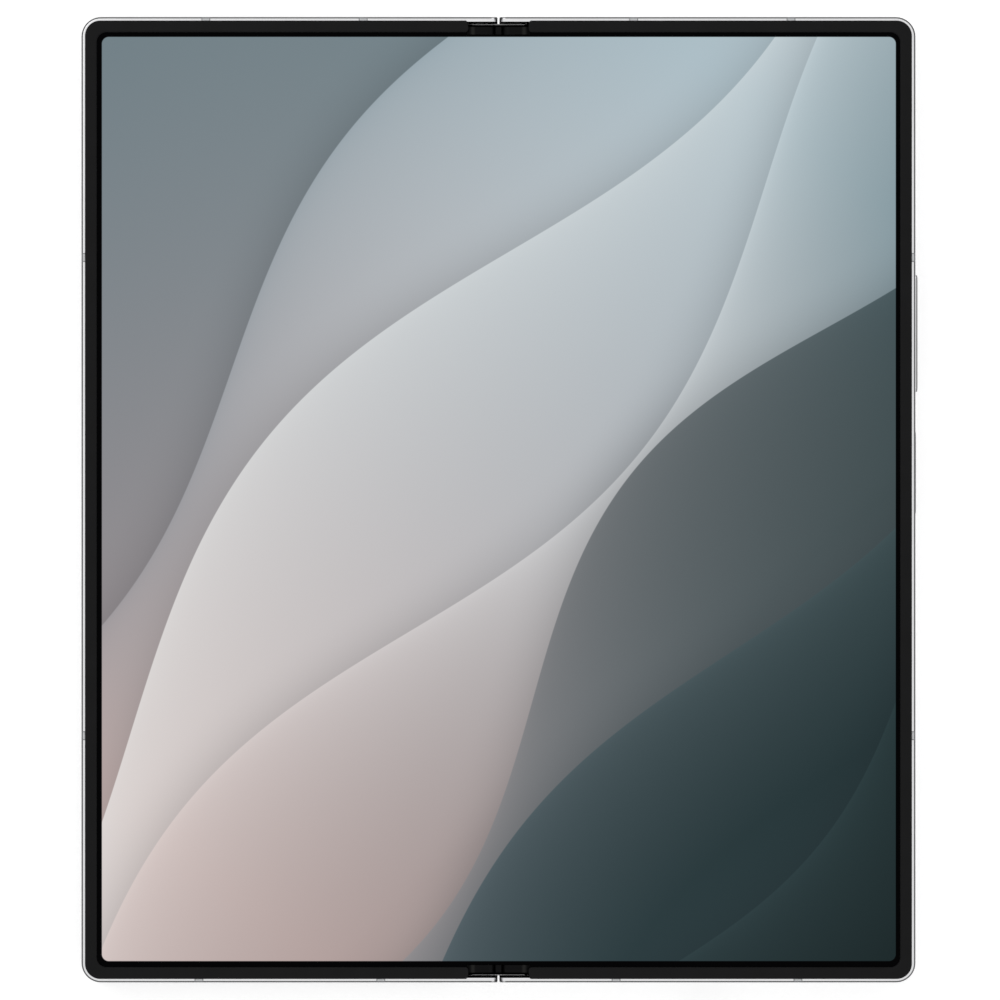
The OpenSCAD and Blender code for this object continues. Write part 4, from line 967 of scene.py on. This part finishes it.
def gauze(finish):
    """Fine gauze behind the loudspeaker's and the microphones' holes, inside the rail."""
    near, far = 75.66, 75.76
    # middle in x, span in y, half width and half height
    holes = [(55.0, -far, -near, 5.3, 0.56), (24.0, -far, -near, 0.4, 0.36), (30.0, near, far, 0.4, 0.36)]
    lows = [(x - half_x, y0, PORT_Z - half_z) for x, y0, _, half_x, half_z in holes]
    highs = [(x + half_x, y1, PORT_Z + half_z) for x, _, y1, half_x, half_z in holes]
    settle(shell("hole_gauze", [blocks(lows, highs)]), finish, "main_half")


def end_trims(finish):
    """The thin bright line on each end of the spine, between the rails and the caps: a bar with round
    edges."""
    top = corners("spine_end_caps")[1][2]
    half_l, half_w, radius, middle_y = 4.2, 0.0575, 0.05, 75.53
    rows = [(0.0, top - 0.2), (0.0, top - 0.02), (0.02, top + 0.01), (0.04, top + 0.02)]
    parts = []
    for y in (middle_y, -middle_y):
        loops = [rounded_loop(-half_l, half_l, y - half_w, y + half_w, radius, inset) for inset, _ in rows]
        parts.append(stack(loops, [z for _, z in rows]))
    settle(shell("end_trims", parts), finish, "spine")


# ------------------------------------------------------------------ the phone

camera()
softbox("key_light", (-0.45, 0.40, 0.70), 0.5, 1.1)
softbox("fill_light", (0.60, -0.35, 0.55), 0.6, 0.6)
softbox("edge_light", (0.10, 0.75, 0.35), 0.4, 0.35)
world()
floor(floor_white())

# Each metal below has painted shade on its rounded edges and, through sides, painted light that makes faces
# off its axis lighter or darker; the frame's pocket is painted shade beside the fold.
frame_finish = satin_metal("frame_metal_finish", 0.80, 0.24, 5.0, edge_shade=0.14, sides=0.8, pocket=True)
key_finish = satin_metal("key_metal_finish", 0.64, 0.24, 5.0, edge_shade=0.17, sides=1.25, axis=0)
ring_finish = satin_metal("ring_metal_finish", 0.74, 0.16, 9.0, edge_shade=0.6, depth=0.002)
island_finish = satin_metal("island_metal_finish", 0.78, 0.30, 7.0, edge_shade=0.6)
tray_finish = satin_metal("tray_metal_finish", 0.62, 0.30, 5.0, edge_shade=0.5, sides=1.03)
spine_finish = brushed_metal("spine_metal_finish", (0.70, 0.70, 0.715), 0.22, (9.0, 0.08, 9.0))
steel_finish = brushed_metal("hinge_steel_finish", (0.46, 0.46, 0.47), 0.30, (8.0, 0.6, 8.0))
dark_steel_finish = brushed_metal("dark_steel_finish", (0.16, 0.16, 0.17), 0.34, (0.3, 8.0, 8.0))
bright_steel_finish = brushed_metal("bright_steel_finish", (0.66, 0.66, 0.67), 0.20, (6.0, 6.0, 0.5))
brass_finish = brushed_metal("gear_brass_finish", (0.72, 0.53, 0.22), 0.26, (6.0, 0.8, 6.0))
gold_finish = brushed_metal("contact_gold_finish", (0.90, 0.66, 0.28), 0.18, (10.0, 0.8, 10.0))
magnet_finish = brushed_metal("magnet_nickel_finish", (0.60, 0.59, 0.57), 0.24, (1.0, 1.0, 5.0))
wing_finish = brushed_metal("wing_plate_finish", (0.34, 0.36, 0.39), 0.30, (6.0, 0.15, 6.0))
trim_finish = brushed_metal("end_trim_finish", (0.38, 0.38, 0.38), 0.30, (0.3, 8.0, 8.0))
black_finish = plastic("black_plastic_finish", srgb(18, 18, 19), srgb(27, 27, 28), 0.48)
barrel_finish = plastic("barrel_black_finish", srgb(10, 10, 11), srgb(17, 17, 18), 0.55, 9.0, 0.3)
print_finish = plastic("lens_print_finish", srgb(6, 6, 7), srgb(10, 10, 11), 0.35, 12.0, 0.3, 0.002)
screen_off_finish = plastic("cover_display_finish", srgb(8, 8, 10), srgb(12, 12, 15), 0.22, 14.0, 0.4, 0.002)
flex_finish = polyimide()

for finish, names in [
        (frame_finish, ["main_frame", "cover_frame"]),
        (tray_finish, ["sim_tray"]),
        (antenna_plastic(), ["main_antenna_inserts", "cover_antenna_inserts"]),
        (frosted_glass(), ["rear_glass"]),
        (cover_glass_black(), ["cover_glass"]),
        (screen_off_finish, ["cover_display"]),
        (island_finish, ["camera_island"]),
        (ring_finish, ["camera_rings"]),
        (barrel_finish, ["rear_camera_modules", "under_display_camera", "front_camera"]),
        (spine_finish, ["spine_cover"]),
        (cap_black(), ["fold_caps_right", "fold_caps_left", "spine_end_caps"]),
        (circuit_board(), ["circuit_boards", "cover_board"]),
        (shield_tin(), ["board_shields", "sim_reader", "vibration_motor"]),
        (battery_film(), ["main_battery", "cover_battery"]),
        (copper_winding(), ["charging_coil"]),
        (port_steel(), ["usb_port"]),
        (bright_steel_finish, ["bracket_screws_right", "bracket_screws_left", "disc_springs"]),
        (black_finish, ["loudspeaker", "earpiece_speaker"]),
        (flex_finish, ["key_switch_strip"]),
        (dark_steel_finish, ["display_sheet_right", "display_sheet_left", "centre_rail"]),
        (steel_finish, ["hinge_brackets_right", "hinge_brackets_left", "hinge_base_blocks", "idler_pins",
                        "right_swing_arms", "left_swing_arms", "right_hinge_shafts", "left_hinge_shafts"]),
        (brass_finish, ["friction_washers", "right_idler_gears", "left_idler_gears"]),
        (magnet_finish, ["closing_magnets_right", "closing_magnets_left"]),
        (wing_finish, ["right_wing_plate", "left_wing_plate"])]:
    dress(finish, *names)

picture_finish, bezel_finish = display(), bezel_plastic()
screen_half("main_screen_right", 1, picture_finish, ["display_right", "display_fold_strip"])
screen_half("main_screen_left", -1, picture_finish, ["display_left", "display_fold_strip"])
bezel_ring("screen_bezel_right", 1, bezel_finish, "main_half", "bezel_right")
bezel_ring("screen_bezel_left", -1, bezel_finish, "cover_half", "bezel_left")
key("volume_key_bar", "volume_key", key_finish, 64.3)
key("power_key_bar", "power_key", key_finish, 64.55)
flex_tongue("flex_circuits_right", 1, flex_finish)
flex_tongue("flex_circuits_left", -1, flex_finish)
lens_stack(sapphire(), print_finish, lens_barrel(), lens_coating())
flash_lens(fresnel_flash())
port_contacts(gold_finish)
gauze(speaker_gauze())
end_trims(trim_finish)

bpy.context.scene.view_settings.view_transform = "Standard"
